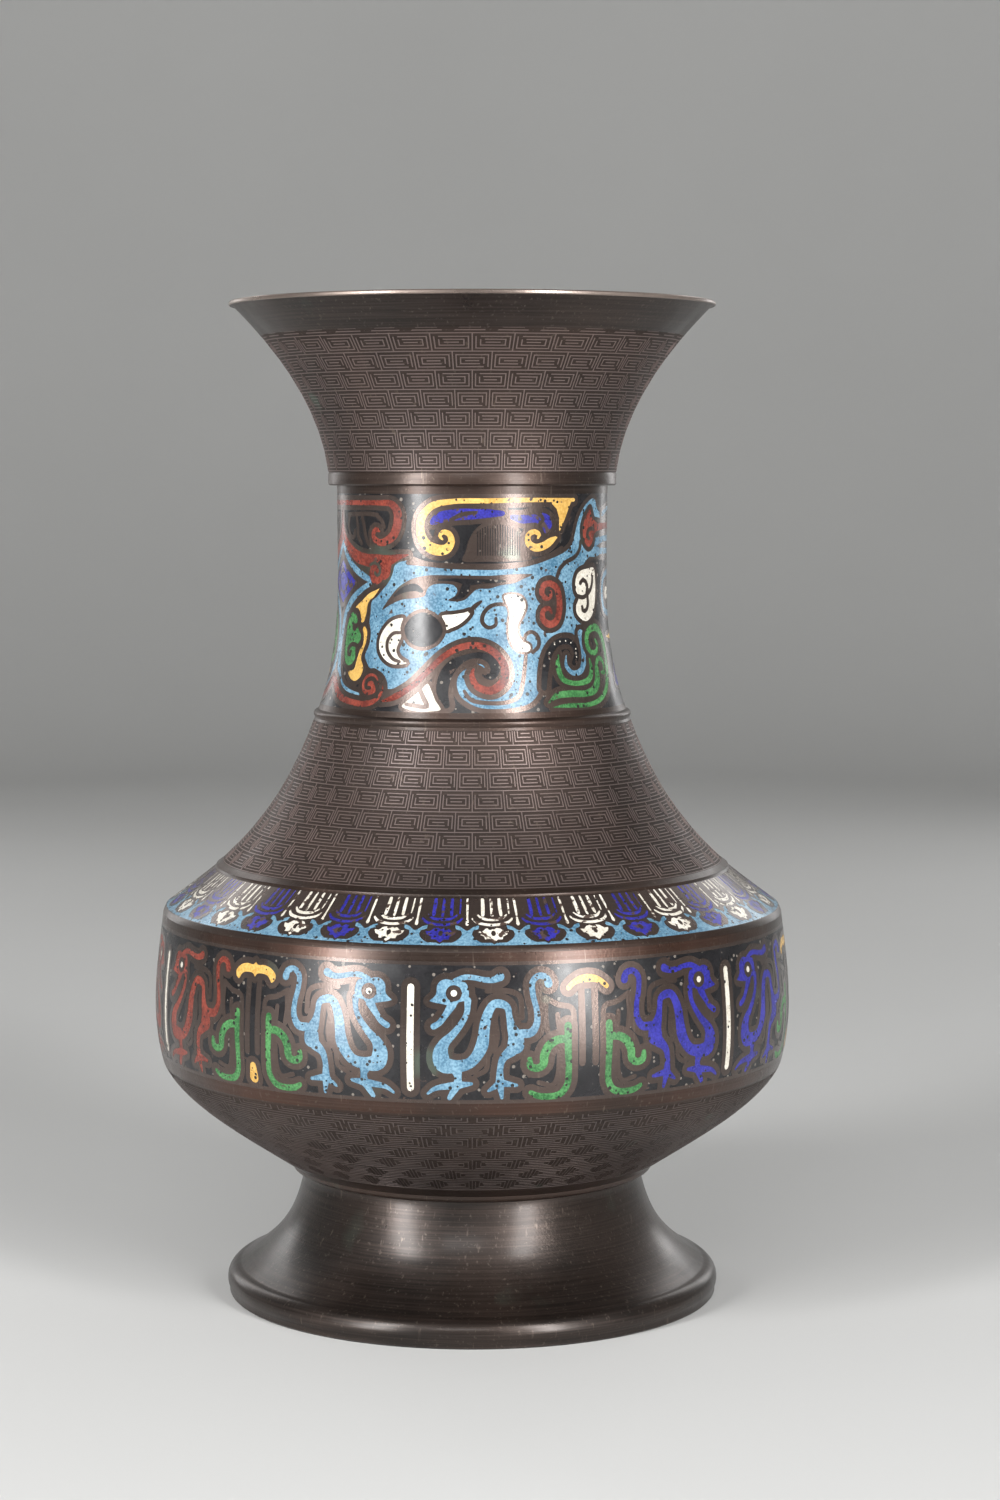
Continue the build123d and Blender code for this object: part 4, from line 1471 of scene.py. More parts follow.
    def mesh(self) -> Piece:
        """The drum's casting, with a groove that holds the web."""
        low, high = DRUM_WALL.low, DRUM_WALL.high
        section = (Wall((DRUM_WALL,)).grooved(low[1], self.band_low, self.band_high, high[1],
                                              GROOVE)
                   + [inner(high)] + inside(DRUM_WALL, self.inner_low, self.inner_high)
                   + [inner(low)])
        return lathe("drum_casting", section, PAINTS.of(MOULDING_BRONZE))

    def build(self) -> list[Piece]:
        """The casting, the web and every enamel."""
        band = self.band()
        nodes = {
            Tint.TURQUOISE: ("birds_turquoise",), Tint.BLUE: ("birds_blue",),
            Tint.RED: ("birds_red",), Tint.WHITE: ("panel_bars_white",),
            Tint.YELLOW: ("caps_yellow", "drops_yellow"), Tint.GREEN: ("scrolls_green",),
            Tint.BLACK: ("belly_ground_black",),
        }
        return [settle(self.mesh(), "bronze", "drum"),
                settle(band.bronze("drum_web", PAINTS.of(WEB_BRONZE)), "bronze"),
                *enamels(band, "belly", nodes)]


@dataclass
class Slope:
    """The coned slope with its lappets, and the hollow shoulder above it."""

    reference: float = 87.0
    band_low: float = 121.15
    band_high: float = 132.5
    step: Point = (79.0, 133.4)
    ground_low: float = 134.8
    ground_high: float = 177.9
    inner_step: float = 132.0
    inner_top: float = 178.0
    grid: float = 1.6
    pairs: int = 19
    first_white: float = 3.8
    meander: Meander = field(default_factory=lambda: Meander(
        "shoulder_meander", SHOULDER_WALL, 134.9, 177.7, 7.6, 39, -0.22))

    @property
    def pitch(self) -> float:
        """The distance between two lappets."""
        return TURN * self.reference / (2 * self.pairs)

    @staticmethod
    def _lappet(tint: Tint, middle: float) -> list[Mark]:
        """One lappet: short bars over two hanging curves and a lobed tip.

        Args:
            tint: its enamel.
            middle: where its middle lies.

        Returns:
            The marks.
        """
        strokes = (
            ((-2.7, 128.5, .55), (-2.6, 130, .62), (-2.6, 132.2, .55)),
            ((0, 128.2, .45), (0, 130, .5), (0, 132.2, .42)),
            ((2.6, 128.5, .5), (2.5, 130, .56), (2.5, 132.2, .5)),
            ((5.0, 128.8, .24), (5.1, 130.4, .3), (5.1, 132.2, .26)),
            ((-4.2, 128.4, .25), (-2.9, 127.6, .34), (0, 127.3, .4), (2.9, 127.6, .34),
             (4.2, 128.4, .25)),
            ((-5.7, 127.5, .3), (-4.6, 126.7, .36), (-2.4, 126.2, .36), (0, 126.0, .36),
             (2.4, 126.2, .36), (4.6, 126.7, .36), (5.7, 127.5, .3)),
        )
        lobe = ((-4.3, 124.6), (-3.1, 124.5), (-2.1, 125.2), (-1.0, 125.4), (0, 125.0),
                (1.0, 125.4), (2.1, 125.2), (3.1, 124.5), (4.3, 124.6), (3.7, 123.6),
                (2.6, 123.2), (2.4, 122.5), (1.1, 122.5), (0, 121.75), (-1.1, 122.5),
                (-2.4, 122.5), (-2.6, 123.2), (-3.7, 123.6))
        return set_off([patch(tint, *lobe, rim=0.35),
                        *(stroke(tint, *path, rim=0.2) for path in strokes)], middle)

    @staticmethod
    def _between(middle: float) -> list[Mark]:
        """The white bar and the turquoise scallop between two lappets.

        Args:
            middle: where it lies.

        Returns:
            The marks.
        """
        tail = ((-5.8, 121.3), (-3.6, 122.0), (-2.2, 122.8), (-1.4, 123.8), (-1.7, 124.6),
                (-3.2, 125.0), (-3.4, 125.9), (-1.9, 125.7), (0, 124.7), (1.9, 125.7),
                (3.4, 125.9), (3.2, 125.0), (1.7, 124.6), (1.4, 123.8), (2.2, 122.8),
                (3.6, 122.0), (5.8, 121.3))
        bar = ((0, 126.3, .55), (0, 127.6, .32), (0, 129.8, .4), (0, 132.2, .42))
        return set_off([patch(Tint.TURQUOISE, *tail, rim=0.3),
                        stroke(Tint.WHITE, *bar, rim=0.2)], middle)

    def band(self) -> Band:
        """Every lappet round the slope."""
        unit = 2 * self.pitch
        white, blue = self.pitch / 2, self.pitch * 1.5
        hem = stroke(Tint.TURQUOISE, (-2, 121.35, .45), (unit / 2, 121.35, .45),
                     (unit + 2, 121.35, .45), rim=0.0)
        tails = [*self._between(0.0), *self._between(self.pitch), *self._between(unit), hem]
        lappets = [*self._lappet(Tint.WHITE, white), *self._lappet(Tint.BLUE, blue)]
        holes = [dot(Tint.BRONZE, middle, 124.0, .66) for middle in (white, blue)]
        drawing = Drawing.cut([tails, lappets, holes], 0.0, unit, self.band_low, self.band_high,
                              Tint.BRONZE, self.grid)
        start = math.radians(self.first_white) - self.pitch / 2 / self.reference
        placings = [Placing(drawing, start + TURN * pair / self.pairs)
                    for pair in range(self.pairs)]
        return Band(Wall((SLOPE_WALL,)), self.reference, placings, CELL, WEB)

    def mesh(self) -> Piece:
        """The shoulder's casting: the grooved slope, the plain step and the hollow wall."""
        seam, top = DRUM_WALL.high, SHOULDER_WALL.high
        arris, foot = SLOPE_WALL.low[1], SHOULDER_WALL.low[1]
        section = ([seam] + Wall((SLOPE_WALL,)).grooved(arris, self.band_low, self.band_high,
                                                        SLOPE_WALL.high[1], GROOVE)
                   + [self.step] + Wall((SHOULDER_WALL,)).grooved(
                       foot, self.ground_low, self.ground_high, top[1], self.meander.relief)
                   + [inner(top)] + inside(SHOULDER_WALL, foot, self.inner_top)
                   + inside(SLOPE_WALL, arris, self.inner_step) + [inner(seam)])
        casting = lathe("shoulder_casting", section, PAINTS.of(BRONZE))
        return blacken(casting, self.ground_low, self.ground_high, PAINTS.of(GROUND_BRONZE))

    def build(self, rows: RowTree) -> list[Piece]:
        """The casting, the web, the enamels and the meander."""
        band = self.band()
        nodes = {Tint.WHITE: ("lappets_white",), Tint.BLUE: ("lappets_blue",),
                 Tint.TURQUOISE: ("scallops_turquoise",)}
        return [settle(self.mesh(), "bronze", "shoulder"),
                settle(band.bronze("slope_web", PAINTS.of(WEB_BRONZE)), "bronze"),
                *enamels(band, "slope", nodes, (Tint.WHITE, Tint.BLUE)),
                *(settle(piece, "bronze") for piece in self.meander.build(rows))]


@dataclass
class Neck:
    """The enamelled neck: half of a mask, mirrored about its nose at the left."""

    reference: float = 41.5
    nose: float = -51.5
    back: float = 78.88
    band_low: float = 183.0
    band_high: float = 247.2
    inner_top: float = 249.0
    grid: float = 1.9
    ridge_stand: float = 0.9

    @staticmethod
    def _crown() -> list[list[Mark]]:
        """The red mass over the nose with its curl, and the scrolls inside it."""
        red, metal = Tint.RED, Tint.BRONZE
        return [[
            stroke(red, (-53, 244.5, 1), (-38, 244.5, 1), (-30, 244.5, 1.05), (-25.6, 244.2, 1.3),
                (-23.5, 241.8, 1.7), (-23.5, 238.3, 1.8), (-24.8, 235.2, 1.7), (-27.2, 233.4, 1.5),
                (-30, 232.7, 1.3), (-32.3, 233.7, 1.2), (-33, 235.3, 1.1), (-31.9, 236.6, 1),
                (-30.5, 236.3, .8)),
            stroke(red, (-52.4, 243, 1.3), (-52.2, 238, 2), (-50.2, 234.3, 1.8), (-46.2, 231, 1.9),
                (-41.5, 228.6, 2.1), (-36.5, 227.5, 2.1), (-31.5, 227.2, 2.3), (-27.5, 227.3, 2),
                (-23.5, 228.4, 1.2), (-19.8, 229.2, .45)),
            dot(red, -31.8, 223.3, 3.3),
            dot(red, -28.8, 224.4, 3.0),
        ], [
            patch(red, (-33, 228), (-26, 228), (-26.5, 224), (-32, 224.5), rim=0.0),
            stroke(metal, (-34.4, 226, .47), (-32.6, 226.7, .47), (-30.6, 225.7, .51),
                (-30.2, 223.9, .51), (-31.4, 222.9, .51), (-32.4, 223.7, .47)),
            stroke(metal, (-46.5, 240.9, .64), (-42, 241.1), (-34, 241.2), (-31, 240.9, .64)),
            stroke(metal, (-45.6, 240.6), (-46.4, 237.4), (-45, 234.6), (-42.9, 234.2),
                (-42.3, 236)),
            stroke(metal, (-41.2, 240.5), (-40.6, 237.6), (-40.4, 234.6), (-38.6, 232.4)),
            stroke(metal, (-38.2, 240.2), (-37.2, 237.6), (-36.6, 235), (-35.2, 232.4),
                (-32.6, 230.9, .64)),
            stroke(metal, (-31.2, 240.6), (-29.4, 239.3), (-28.4, 237.4)),
        ]]

    @staticmethod
    def _brow_jewel() -> list[list[Mark]]:
        """The blue lozenge between its turquoise borders, at the nose."""
        blue, sky, metal = Tint.BLUE, Tint.TURQUOISE, Tint.BRONZE
        return [[
            stroke(sky, (-53, 231.6, 1.2), (-51.5, 232.3, 1.4), (-48.6, 229.3, 1.3),
                (-45.4, 226.6, 1.3), (-41, 224.1, 1.35), (-37.5, 222.6, 1.3), (-34.6, 221.6, 1.1)),
            stroke(sky, (-34.6, 220.4, 1), (-38.2, 218.8, 1.1), (-41.9, 216.8, 1.3),
                (-45.5, 214.2, 1.45), (-48.6, 210.8, 1.4), (-50, 206.5, 1.35), (-50.5, 202, 1.3),
                (-50.1, 197.5, 1.4), (-48.2, 192.9, 1.5), (-44.6, 189.4, 1.35),
                (-40.1, 187.9, 1.15), (-35.2, 187.4, .7)),
            patch(blue, (-55, 225.2), (-51.5, 227.4), (-46, 223.7), (-41.2, 220.6), (-46, 217.3),
                (-51.5, 213.9), (-55, 216), cornered=True),
        ], [
            patch(metal, (-54, 223.4), (-51.5, 224.9), (-46, 220.7), (-51.5, 216.5), (-54, 218),
                cornered=True),
        ], [
            patch(blue, (-54, 223.2), (-51.5, 223.6), (-48.6, 222.4), (-47.6, 220.7),
                (-48.8, 218.9), (-51.5, 217.8), (-54, 218.2), rim=0.0),
        ]]

    @staticmethod
    def _wing() -> list[list[Mark]]:
        """The yellow wing and the green lobe beside the nose."""
        metal = Tint.BRONZE
        return [[
            patch(Tint.YELLOW, (-30, 219.4), (-32.2, 218.7), (-35, 217.7), (-38.2, 215.6),
                (-42.2, 213), (-40.2, 212.5), (-39, 210.9), (-38.5, 208.6), (-37, 208.7),
                (-35.8, 211.4), (-35.3, 214), (-34.4, 215.3), (-32.6, 216.3)),
            patch(Tint.YELLOW, (-36.6, 207.9), (-35, 206.4), (-35.1, 202.7), (-36.3, 199.8),
                (-36.6, 198.2), (-35, 195.4), (-35.7, 192.4), (-38, 191), (-40.5, 191.6),
                (-42.8, 194), (-39.8, 194.8), (-39.2, 196.9), (-38.4, 200), (-36.9, 202.3),
                (-36.9, 205), (-37.6, 206.9)),
            patch(Tint.GREEN, (-47.4, 203.2), (-46.6, 208), (-45, 210.8), (-43.2, 211.9),
                (-41.2, 211.1), (-40, 209.3), (-39.6, 207.2), (-37.8, 204.9), (-38.3, 202.7),
                (-40, 201.4), (-39.6, 197.9), (-41, 196), (-43.3, 195.4), (-45.6, 196.6),
                (-47, 199.6)),
        ], [
            dot(metal, -41.9, 207.2, 1.25),
            stroke(metal, (-41.9, 206.9), (-40.2, 208), (-38.9, 209.6, .64)),
            stroke(metal, (-38.6, 201.2, .56), (-40.4, 201.9), (-42.8, 201.9), (-44.3, 200.6),
                (-44, 199), (-42.9, 198.9, .64), (-42.7, 199.9, .56)),
        ]]

    @staticmethod
    def _face() -> list[list[Mark]]:
        """The turquoise field of the face, with what runs out from it to the right."""
        sky = Tint.TURQUOISE
        return [[
            patch(sky, (-24.6, 226.3), (-20, 227.8), (-15, 226.4), (-8, 225.5), (0, 225.2),
                (8, 225.2), (15, 225.8), (20, 226.8), (24, 228), (28, 229.3), (31, 230.6),
                (33.4, 232.8), (34.6, 236), (36, 239.8), (38.4, 243), (41, 244.9), (44.2, 246),
                (46.2, 245.1), (47.2, 243.2), (49.4, 241.9), (53, 242), (57, 243.2), (57, 241.4),
                (53, 239.8), (49, 239), (46, 239.8), (45, 234), (47.5, 233.2), (52, 234.4),
                (57, 234.6), (57, 228.6), (50, 228.5), (44.4, 228.6), (41.6, 227.6), (39.4, 226),
                (38, 222), (38, 214), (37.6, 209.6), (37.3, 206.4), (37, 203.2), (35.2, 203),
                (33.2, 205.2), (30, 205.8), (26.6, 205.4), (24, 203.6), (22.3, 200.8),
                (21.2, 197.6), (20.6, 194), (19.6, 190), (18, 187.2), (15.6, 185.3), (12, 184.3),
                (7, 183.9), (2.4, 184.2), (-.6, 185.4), (-3.4, 187.8), (-4.5, 191), (-4.2, 193.6),
                (-2.8, 195.4), (-1, 196.7), (0, 199), (-1, 203), (-6, 202), (-10, 199.8),
                (-14, 196.2), (-18, 192.4), (-20.6, 190.3), (-23, 189.4), (-25, 189.4),
                (-26, 191.8), (-28, 193.8), (-30.4, 194.8), (-32.6, 195.2), (-34, 196.6),
                (-35.4, 198.8), (-34, 202.5), (-33.8, 206), (-34.6, 208.8), (-34.3, 212),
                (-34, 215.1), (-31.6, 216.8), (-29.2, 219), (-27, 221.2), (-25.6, 223.6)),
        ], [
            stroke(sky, (46, 230.2, 1.5), (52, 229.9, 1.2), (60, 229.8, 1.1), (81, 229.8, 1.1)),
        ], [
            stroke(sky, (46, 232.2, 1.2), (52, 233.4, 1.2), (60, 233.6, 1.1), (81, 233.6, 1.1)),
            stroke(sky, (52, 241, 1), (57, 242.4, .95), (64, 243, .9), (81, 243, .9)),
        ], [
            patch(sky, (42, 228.6), (50, 229), (50, 230.6), (44, 231), rim=0.0),
            patch(sky, (44, 231.6), (50, 232.4), (50, 234), (44, 233), rim=0.0),
        ]]

    @staticmethod
    def _eye() -> list[list[Mark]]:
        """The white eye with its domed pupil and the almond behind it."""
        white, metal = Tint.WHITE, Tint.BRONZE
        return [[
            patch(white, (-21.2, 210.6), (-25, 209.9), (-27.9, 207.6), (-29.7, 204.4), (-29.6, 201),
                (-27.8, 198.5), (-25.1, 196.9), (-22.3, 196.5), (-19.2, 197.2), (-21.9, 198.9),
                (-23, 201), (-22.4, 203), (-21.6, 205), (-22, 207.5), (-21.6, 209.3), rim=0.95),
            patch(white, (-9.2, 211.4), (-5.4, 212), (-2.4, 212.5), (-.2, 213.1), (-.7, 211.6),
                (-2.2, 209.9), (-4.3, 208.4), (-6.4, 207.5), (-7.7, 207), (-8.1, 209.1), rim=0.95),
        ], [
            dot(Tint.BLACK, -14.8, 207.1, 5.4, rim=0.0),
        ], [
            patch(Tint.BLACK, (-21, 207.2), (-18.8, 210.9), (-14.8, 212.5), (-10.8, 210.9),
                (-8.5, 207.2), (-10.6, 203.4), (-14.8, 201.9), (-18.9, 203.3), rim=0.9),
        ], [
            stroke(metal, (-21.9, 206.2, .47), (-24.6, 205.9, .55), (-26.5, 203.7, .58),
                (-26.3, 200.8, .58), (-24.2, 198.4, .55), (-21.8, 197.6, .47)),
            stroke(metal, (-.6, 212.8), (1, 214.4), (2.6, 215.6, .4)),
        ]]

    @staticmethod
    def _brow() -> list[list[Mark]]:
        """The long bronze brow over the eye, filled with black strokes."""
        metal, black = Tint.BRONZE, Tint.BLACK
        return [[
            patch(metal, (-29.2, 212.7), (-26, 216.8), (-22.8, 219.9), (-18.3, 222.2),
                (-13.7, 223.2), (-5.4, 223.3), (5.1, 223.2), (12.8, 223.6), (18.6, 223.4),
                (15.6, 222.2), (12.8, 221), (8.3, 220.3), (5.1, 219.4), (1.4, 219.2), (-.4, 217.7),
                (-2.2, 216.1), (-4.6, 215.6), (-7.2, 216), (-5.2, 217.2), (-4.4, 218.9),
                (-5.4, 220.3), (-9, 220.8), (-12, 220.4), (-13.6, 219.2), (-14.4, 217.2),
                (-17, 216.5), (-22, 215.9), (-26.4, 214.2)),
        ], [
            stroke(black, (-24.6, 217, .3), (-21.4, 218.9, .9), (-17.4, 219.6, 1.1),
                (-15.4, 218.6, .6), rim=0.0),
            stroke(black, (-10, 221.9, .3), (-5, 221.9, .5), (-1.5, 221.3, .9), (3.4, 221.5, .6),
                (7.4, 221.5, .5), (10, 221.6, .2), rim=0.0),
            stroke(black, (-1.6, 221, 1.2), (-2.4, 218.6, 1.3), (-3.9, 216.9, .7),
                (-5.6, 216.4, .2), rim=0.0),
        ]]

    @staticmethod
    def _horn() -> list[list[Mark]]:
        """The yellow horn that ends in two curls, with blue under it and the hatched dome."""
        gold, blue, metal, black = Tint.YELLOW, Tint.BLUE, Tint.BRONZE, Tint.BLACK
        hatch = [stroke(black, (u, 229.2, .13), (u, 238.2 - 0.055 * (u - 7.5) ** 2, .13), rim=0.0)
                 for u in np.arange(1.6, 15.0, 0.75).tolist()]
        return [[
            stroke(blue, (-11.8, 240.2, 2.3), (-6, 241.3, 2.2), (0, 241.3, 1.8), (5, 241.5, 1.5),
                (9, 241.5, 1)),
            stroke(blue, (12, 240.4, 1), (15, 239.8, 1.5), (20, 240.3, 1.9), (23.4, 238.6, 2.3),
                (23.2, 236.9, 1.6)),
        ], [
            stroke(metal, (-6.4, 239.6, .56), (-3, 241.2), (1, 241.8, .47)),
            stroke(metal, (16, 241.4, .47), (20, 241.6, .64), (22, 239.6, .64), (20.6, 238.2, .47)),
        ], [
            patch(metal, (-2.9, 227.6), (-1.9, 230.4), (-1.1, 233.4), (.4, 236.2), (2.8, 238.4),
                (6, 239.8), (9.6, 240), (12.6, 238.6), (14.8, 236), (16, 232.8), (17.2, 229.8),
                (18.4, 228.2), (12, 227.4), (4, 227.3)),
        ], [
            *hatch,
        ], [
            stroke(gold, (34, 245.4, .8), (26, 245.4, .85), (14, 245.4, .95), (5, 245.2, 1),
                (-6, 245, 1.05), (-12, 243.7, 1.3), (-15.2, 240.4, 1.5), (-15.8, 236.6, 1.6),
                (-14.4, 232.9, 1.8), (-11.2, 230.9, 1.9), (-7.8, 231, 1.7), (-6.2, 233.2, 1.3),
                (-6.9, 235.5, 1.1), (-8.8, 236, .95), (-9.7, 234.8, .75), (-8.9, 233.9, .55)),
            patch(gold, (24.5, 246.2), (34, 246.2), (32.2, 243.2), (30.4, 239.5), (28.4, 236),
                (27.7, 236.3), (27.7, 240), (26.7, 242.6), (25, 244.1), cornered=True),
            stroke(gold, (27, 234.4, .6), (25, 233.3, 1.3), (22.2, 231.8, 1.45), (19.2, 231.4, 1.4),
                (17.1, 232.9, 1.3), (17.2, 235.2, 1.1), (19.2, 236.1, 1), (20.8, 235.1, .9),
                (20.3, 234.2, .6)),
        ]]

    @staticmethod
    def _cheek() -> list[list[Mark]]:
        """The red double scroll behind the eye, the curled line and the long bronze lines."""
        red, metal = Tint.RED, Tint.BRONZE
        return [[
            stroke(metal, (-20, 226.9, .64), (-10, 226.3), (0, 226.1), (10, 226.2), (18, 227),
                (25, 229.2), (29, 231.2, .64)),
            stroke(metal, (27.3, 222.6), (28.4, 225), (31, 227), (34.5, 228.3), (36.9, 230.6),
                (37.4, 233, .64)),
            stroke(red, (24.6, 220.8, 1.15), (27, 219.4, 1.3), (28, 216.6, 1.35), (28, 212.4, 1.4),
                (26.6, 209.4, 1.35), (24, 208.6, 1.35), (21.9, 210.2, 1.2), (22.2, 212.8, 1.05),
                (24.2, 213.3, .9), (25, 212, .7)),
            stroke(red, (24.6, 220.8, 1.15), (22.4, 220.2, 1.2), (21.7, 217.9, 1.15),
                (23, 216.3, 1.05), (24.8, 216.8, .9), (24.9, 218.3, .75)),
        ], [
            stroke(metal, (11, 214.2, .5), (8.8, 214.8, .56), (5.4, 214.2, .6), (3.2, 211.8, .62),
                (3, 209.4, .62), (4.8, 207.9, .58), (6.9, 208.7, .53), (7, 210.7, .45)),
            patch(Tint.WHITE, (9.4, 217.2), (12.4, 217.7), (15.2, 216.8), (16.4, 214.2),
                (15.4, 211.4), (13.9, 208.8), (13.8, 205.8), (15.3, 203.9), (17.4, 202.6),
                (17.2, 200.9), (14.4, 200.6), (12, 202.2), (10.8, 204.8), (10.7, 209),
                (11.1, 212.6), (10, 215.2), rim=0.6),
            stroke(metal, (15.6, 203.9, .53), (16, 205.6, .58), (18, 206.5, .6), (20, 204.9, .62),
                (20, 202.2, .62), (18, 200.5, .58)),
            stroke(metal, (-2.2, 189.4, .44), (-.4, 186.9, .62), (4, 185.9, .62), (10, 186.2, .62),
                (12.9, 187.9, .65), (14.2, 191.4, .65), (15.2, 196, .62), (15.8, 199.8, .56)),
        ]]

    @staticmethod
    def _ear() -> list[list[Mark]]:
        """The red heart with its arm, the white double scroll and what lies at the back."""
        red, white, metal = Tint.RED, Tint.WHITE, Tint.BRONZE
        return [[
            stroke(red, (42, 237.4, 2.6), (46, 237.2, 1.8), (51, 237.3, 1.3), (58, 237.5, 1.15),
                (81, 237.5, 1.15)),
            patch(red, (42.6, 242.9), (40.6, 241.3), (38.8, 238.8), (38.2, 235.6), (39.4, 232.5),
                (41.9, 231), (44.2, 232.2), (45.4, 235), (45.2, 238), (43.8, 240.6)),
            patch(white, (37.4, 224.4), (41, 225), (45.4, 225), (46.5, 221.8), (46.7, 218.2),
                (45.8, 213.6), (43.5, 210.3), (40.2, 208.8), (37.2, 209.6), (35.1, 211.6),
                (35, 214), (36.3, 216.3), (35, 218.2), (34.7, 220.9), (35.6, 223.2)),
        ], [
            patch(red, (41, 239.4), (47, 238.4), (47, 236), (42, 235), rim=0.0),
            stroke(metal, (45, 236.6, .58), (43.4, 236.8, .64), (41.6, 236.2), (41, 234.7),
                (42.1, 233.7, .58)),
            stroke(metal, (36.2, 216.6), (38.5, 216.2), (41, 217), (43.2, 218.6), (44.1, 220.4),
                (44.3, 222.3, .58)),
            stroke(metal, (37.4, 220.5), (38.4, 221.3), (40.2, 220.9), (41.1, 219.2),
                (40.6, 217.2)),
            stroke(metal, (41.2, 216.4), (41.3, 213.8), (39.9, 212.2), (38.4, 212.4),
                (38.1, 213.4, .58)),
        ], [
            stroke(Tint.TURQUOISE, (81, 223, 1.2), (58, 223, 1.2), (53.8, 221.4, 1.3),
                (52.2, 217, 1.3), (53.8, 212.6, 1.3), (58, 211, 1.2), (81, 211, 1.2)),
            stroke(white, (57.4, 217, 2.2), (66, 217, 1.6), (81, 217, 1.6)),
            stroke(Tint.YELLOW, (54.6, 203.8, .4), (60, 203.7, 1), (81, 203.7, 1)),
            patch(Tint.BLUE, (56, 189.5), (58.4, 193.6), (61.6, 196.6), (66, 198.6), (72, 199.2),
                (82, 199.2), (82, 190), (70, 188.4)),
        ], [
            stroke(metal, (60, 192.4, .64), (66, 194.6), (74, 195.2, .64), (82, 195.2, .64)),
            stroke(metal, (60.4, 217, .64), (66, 217.2, .47)),
        ]]

    @staticmethod
    def _claw() -> list[list[Mark]]:
        """The green claw below the ear, with the studded black hook inside it."""
        green, black = Tint.GREEN, Tint.BLACK
        studs = [dot(Tint.WHITE, u, z, .24, 0.0)
                 for u, z in ((23.6, 200.2), (25.6, 202.6), (27.7, 203.4), (29.9, 203.5),
                              (32, 202.9), (33.8, 201), (33.8, 198.6))]
        return [[
            stroke(Tint.TURQUOISE, (29.6, 199.2, .4), (29.2, 196.2, .9), (31.2, 194, 1),
                (34.6, 194.3, 1.15), (36.8, 197, 1.35), (37.2, 201, 1.4), (36.6, 205.4, 1.6)),
            stroke(black, (20.6, 190, 1.1), (21.6, 195, 1.3), (23.2, 199.6, 1.4),
                (26.2, 202.8, 1.3), (30.4, 203.4, 1.2), (33.2, 201.8, 1.2), (33.8, 198.8, 1.3),
                (32.4, 196.9, 1.1)),
        ], [
            *studs,
        ], [
            stroke(green, (26.6, 199.4, .5), (26.1, 196.4, 1.1), (27.2, 192.4, 1.15),
                (30.4, 191, 1), (35.4, 191, 1.05), (38.6, 192.2, 1.2), (40, 195, 1.05),
                (39.8, 197.6, .7)),
            stroke(green, (21.4, 185.6, .4), (24.4, 187.5, 1.1), (29, 187.9, 1.25),
                (35.6, 187.7, 1.25), (39.8, 188.8, 1.5), (42.4, 191.6, 1.6), (43, 194.8, 1.35),
                (44.4, 197.4, 1), (46.7, 197.4, 1), (48, 195.4, .95), (47.2, 193.3, .9),
                (45.4, 193.4, .75)),
            stroke(green, (22.6, 184.2, .35), (27, 184.5, .85), (35.6, 184.4, .9),
                (41.6, 185.7, .95), (46.6, 188.8, 1.1), (49.8, 193.4, 1.3), (50.8, 198.6, 1.45),
                (49.8, 203, 1.5), (46.8, 206.4, 1.45), (43, 206.9, 1.35), (40, 205.2, 1.3),
                (39.5, 201.8, 1.25), (41.4, 199.6, 1.1), (44.3, 199.8, 1), (45.4, 201.8, .95),
                (44.4, 203.3, .7)),
        ]]

    @staticmethod
    def _snout() -> list[list[Mark]]:
        """The red band that rises from the nostril to the great spiral, and the fang."""
        red, white, metal, black = Tint.RED, Tint.WHITE, Tint.BRONZE, Tint.BLACK
        return [[
            stroke(black, (-6.9, 185.2, 1.2), (-8.2, 189, 1.9), (-7.6, 193.6, 2.1),
                (-5.2, 197.2, 1.8), (-1.6, 199.2, 1.1), (2.2, 199.8, 1.2), (5.4, 198.4, 1.5),
                (6.5, 195.4, 1.6), (5.2, 193.5, 1.3), (3.4, 194, .9)),
            stroke(red, (-53, 192.4, 1.5), (-49.6, 190.4, 1.5), (-46.4, 187.6, 1.4),
                (-42.4, 185.9, 1.2), (-37, 185, 1.1), (-32, 184.8, 1.15), (-28.9, 186, 1.3),
                (-27.3, 188.8, 1.4), (-28.3, 191.6, 1.3), (-30.9, 192.9, 1.3)),
            stroke(red, (-26, 185.8, .5), (-22.4, 187.1, 1.2), (-17.5, 190.2, 1.15),
                (-13, 194.7, 1.15), (-8.5, 199.2, 1.15), (-3.5, 202.1, 1.2), (1.5, 202.7, 1.25),
                (6, 200.9, 1.35), (9, 197, 1.4), (8.8, 192.4, 1.5), (5.2, 189.5, 1.45),
                (1.4, 190.7, 1.2), (-.1, 193.8, 1), (.4, 196, .5)),
        ], [
            dot(red, -31.3, 190.6, 3.5),
        ], [
            stroke(metal, (-28, 187, .51), (-28.6, 190.2, .64), (-30.6, 192.3), (-32.8, 191.5),
                (-32.7, 189.7, .64), (-31.2, 189.5, .55)),
            stroke(metal, (.4, 196.6, .64), (2.2, 196.2), (3.6, 194.6, .64)),
        ], [
            patch(white, (-12.5, 191.6), (-11.2, 189.6), (-9.8, 186.6), (-8.2, 183.9), (-11, 183.2),
                (-15.4, 183.2), (-19.6, 184.6), (-17.2, 187.2), (-14.8, 189.3), rim=0.9),
        ], [
            stroke(metal, (-14.6, 189.6, .64), (-13.4, 187.2), (-12.2, 184.8), (-15.2, 184.9, .64),
                (-18.2, 185.3, .55)),
        ]]

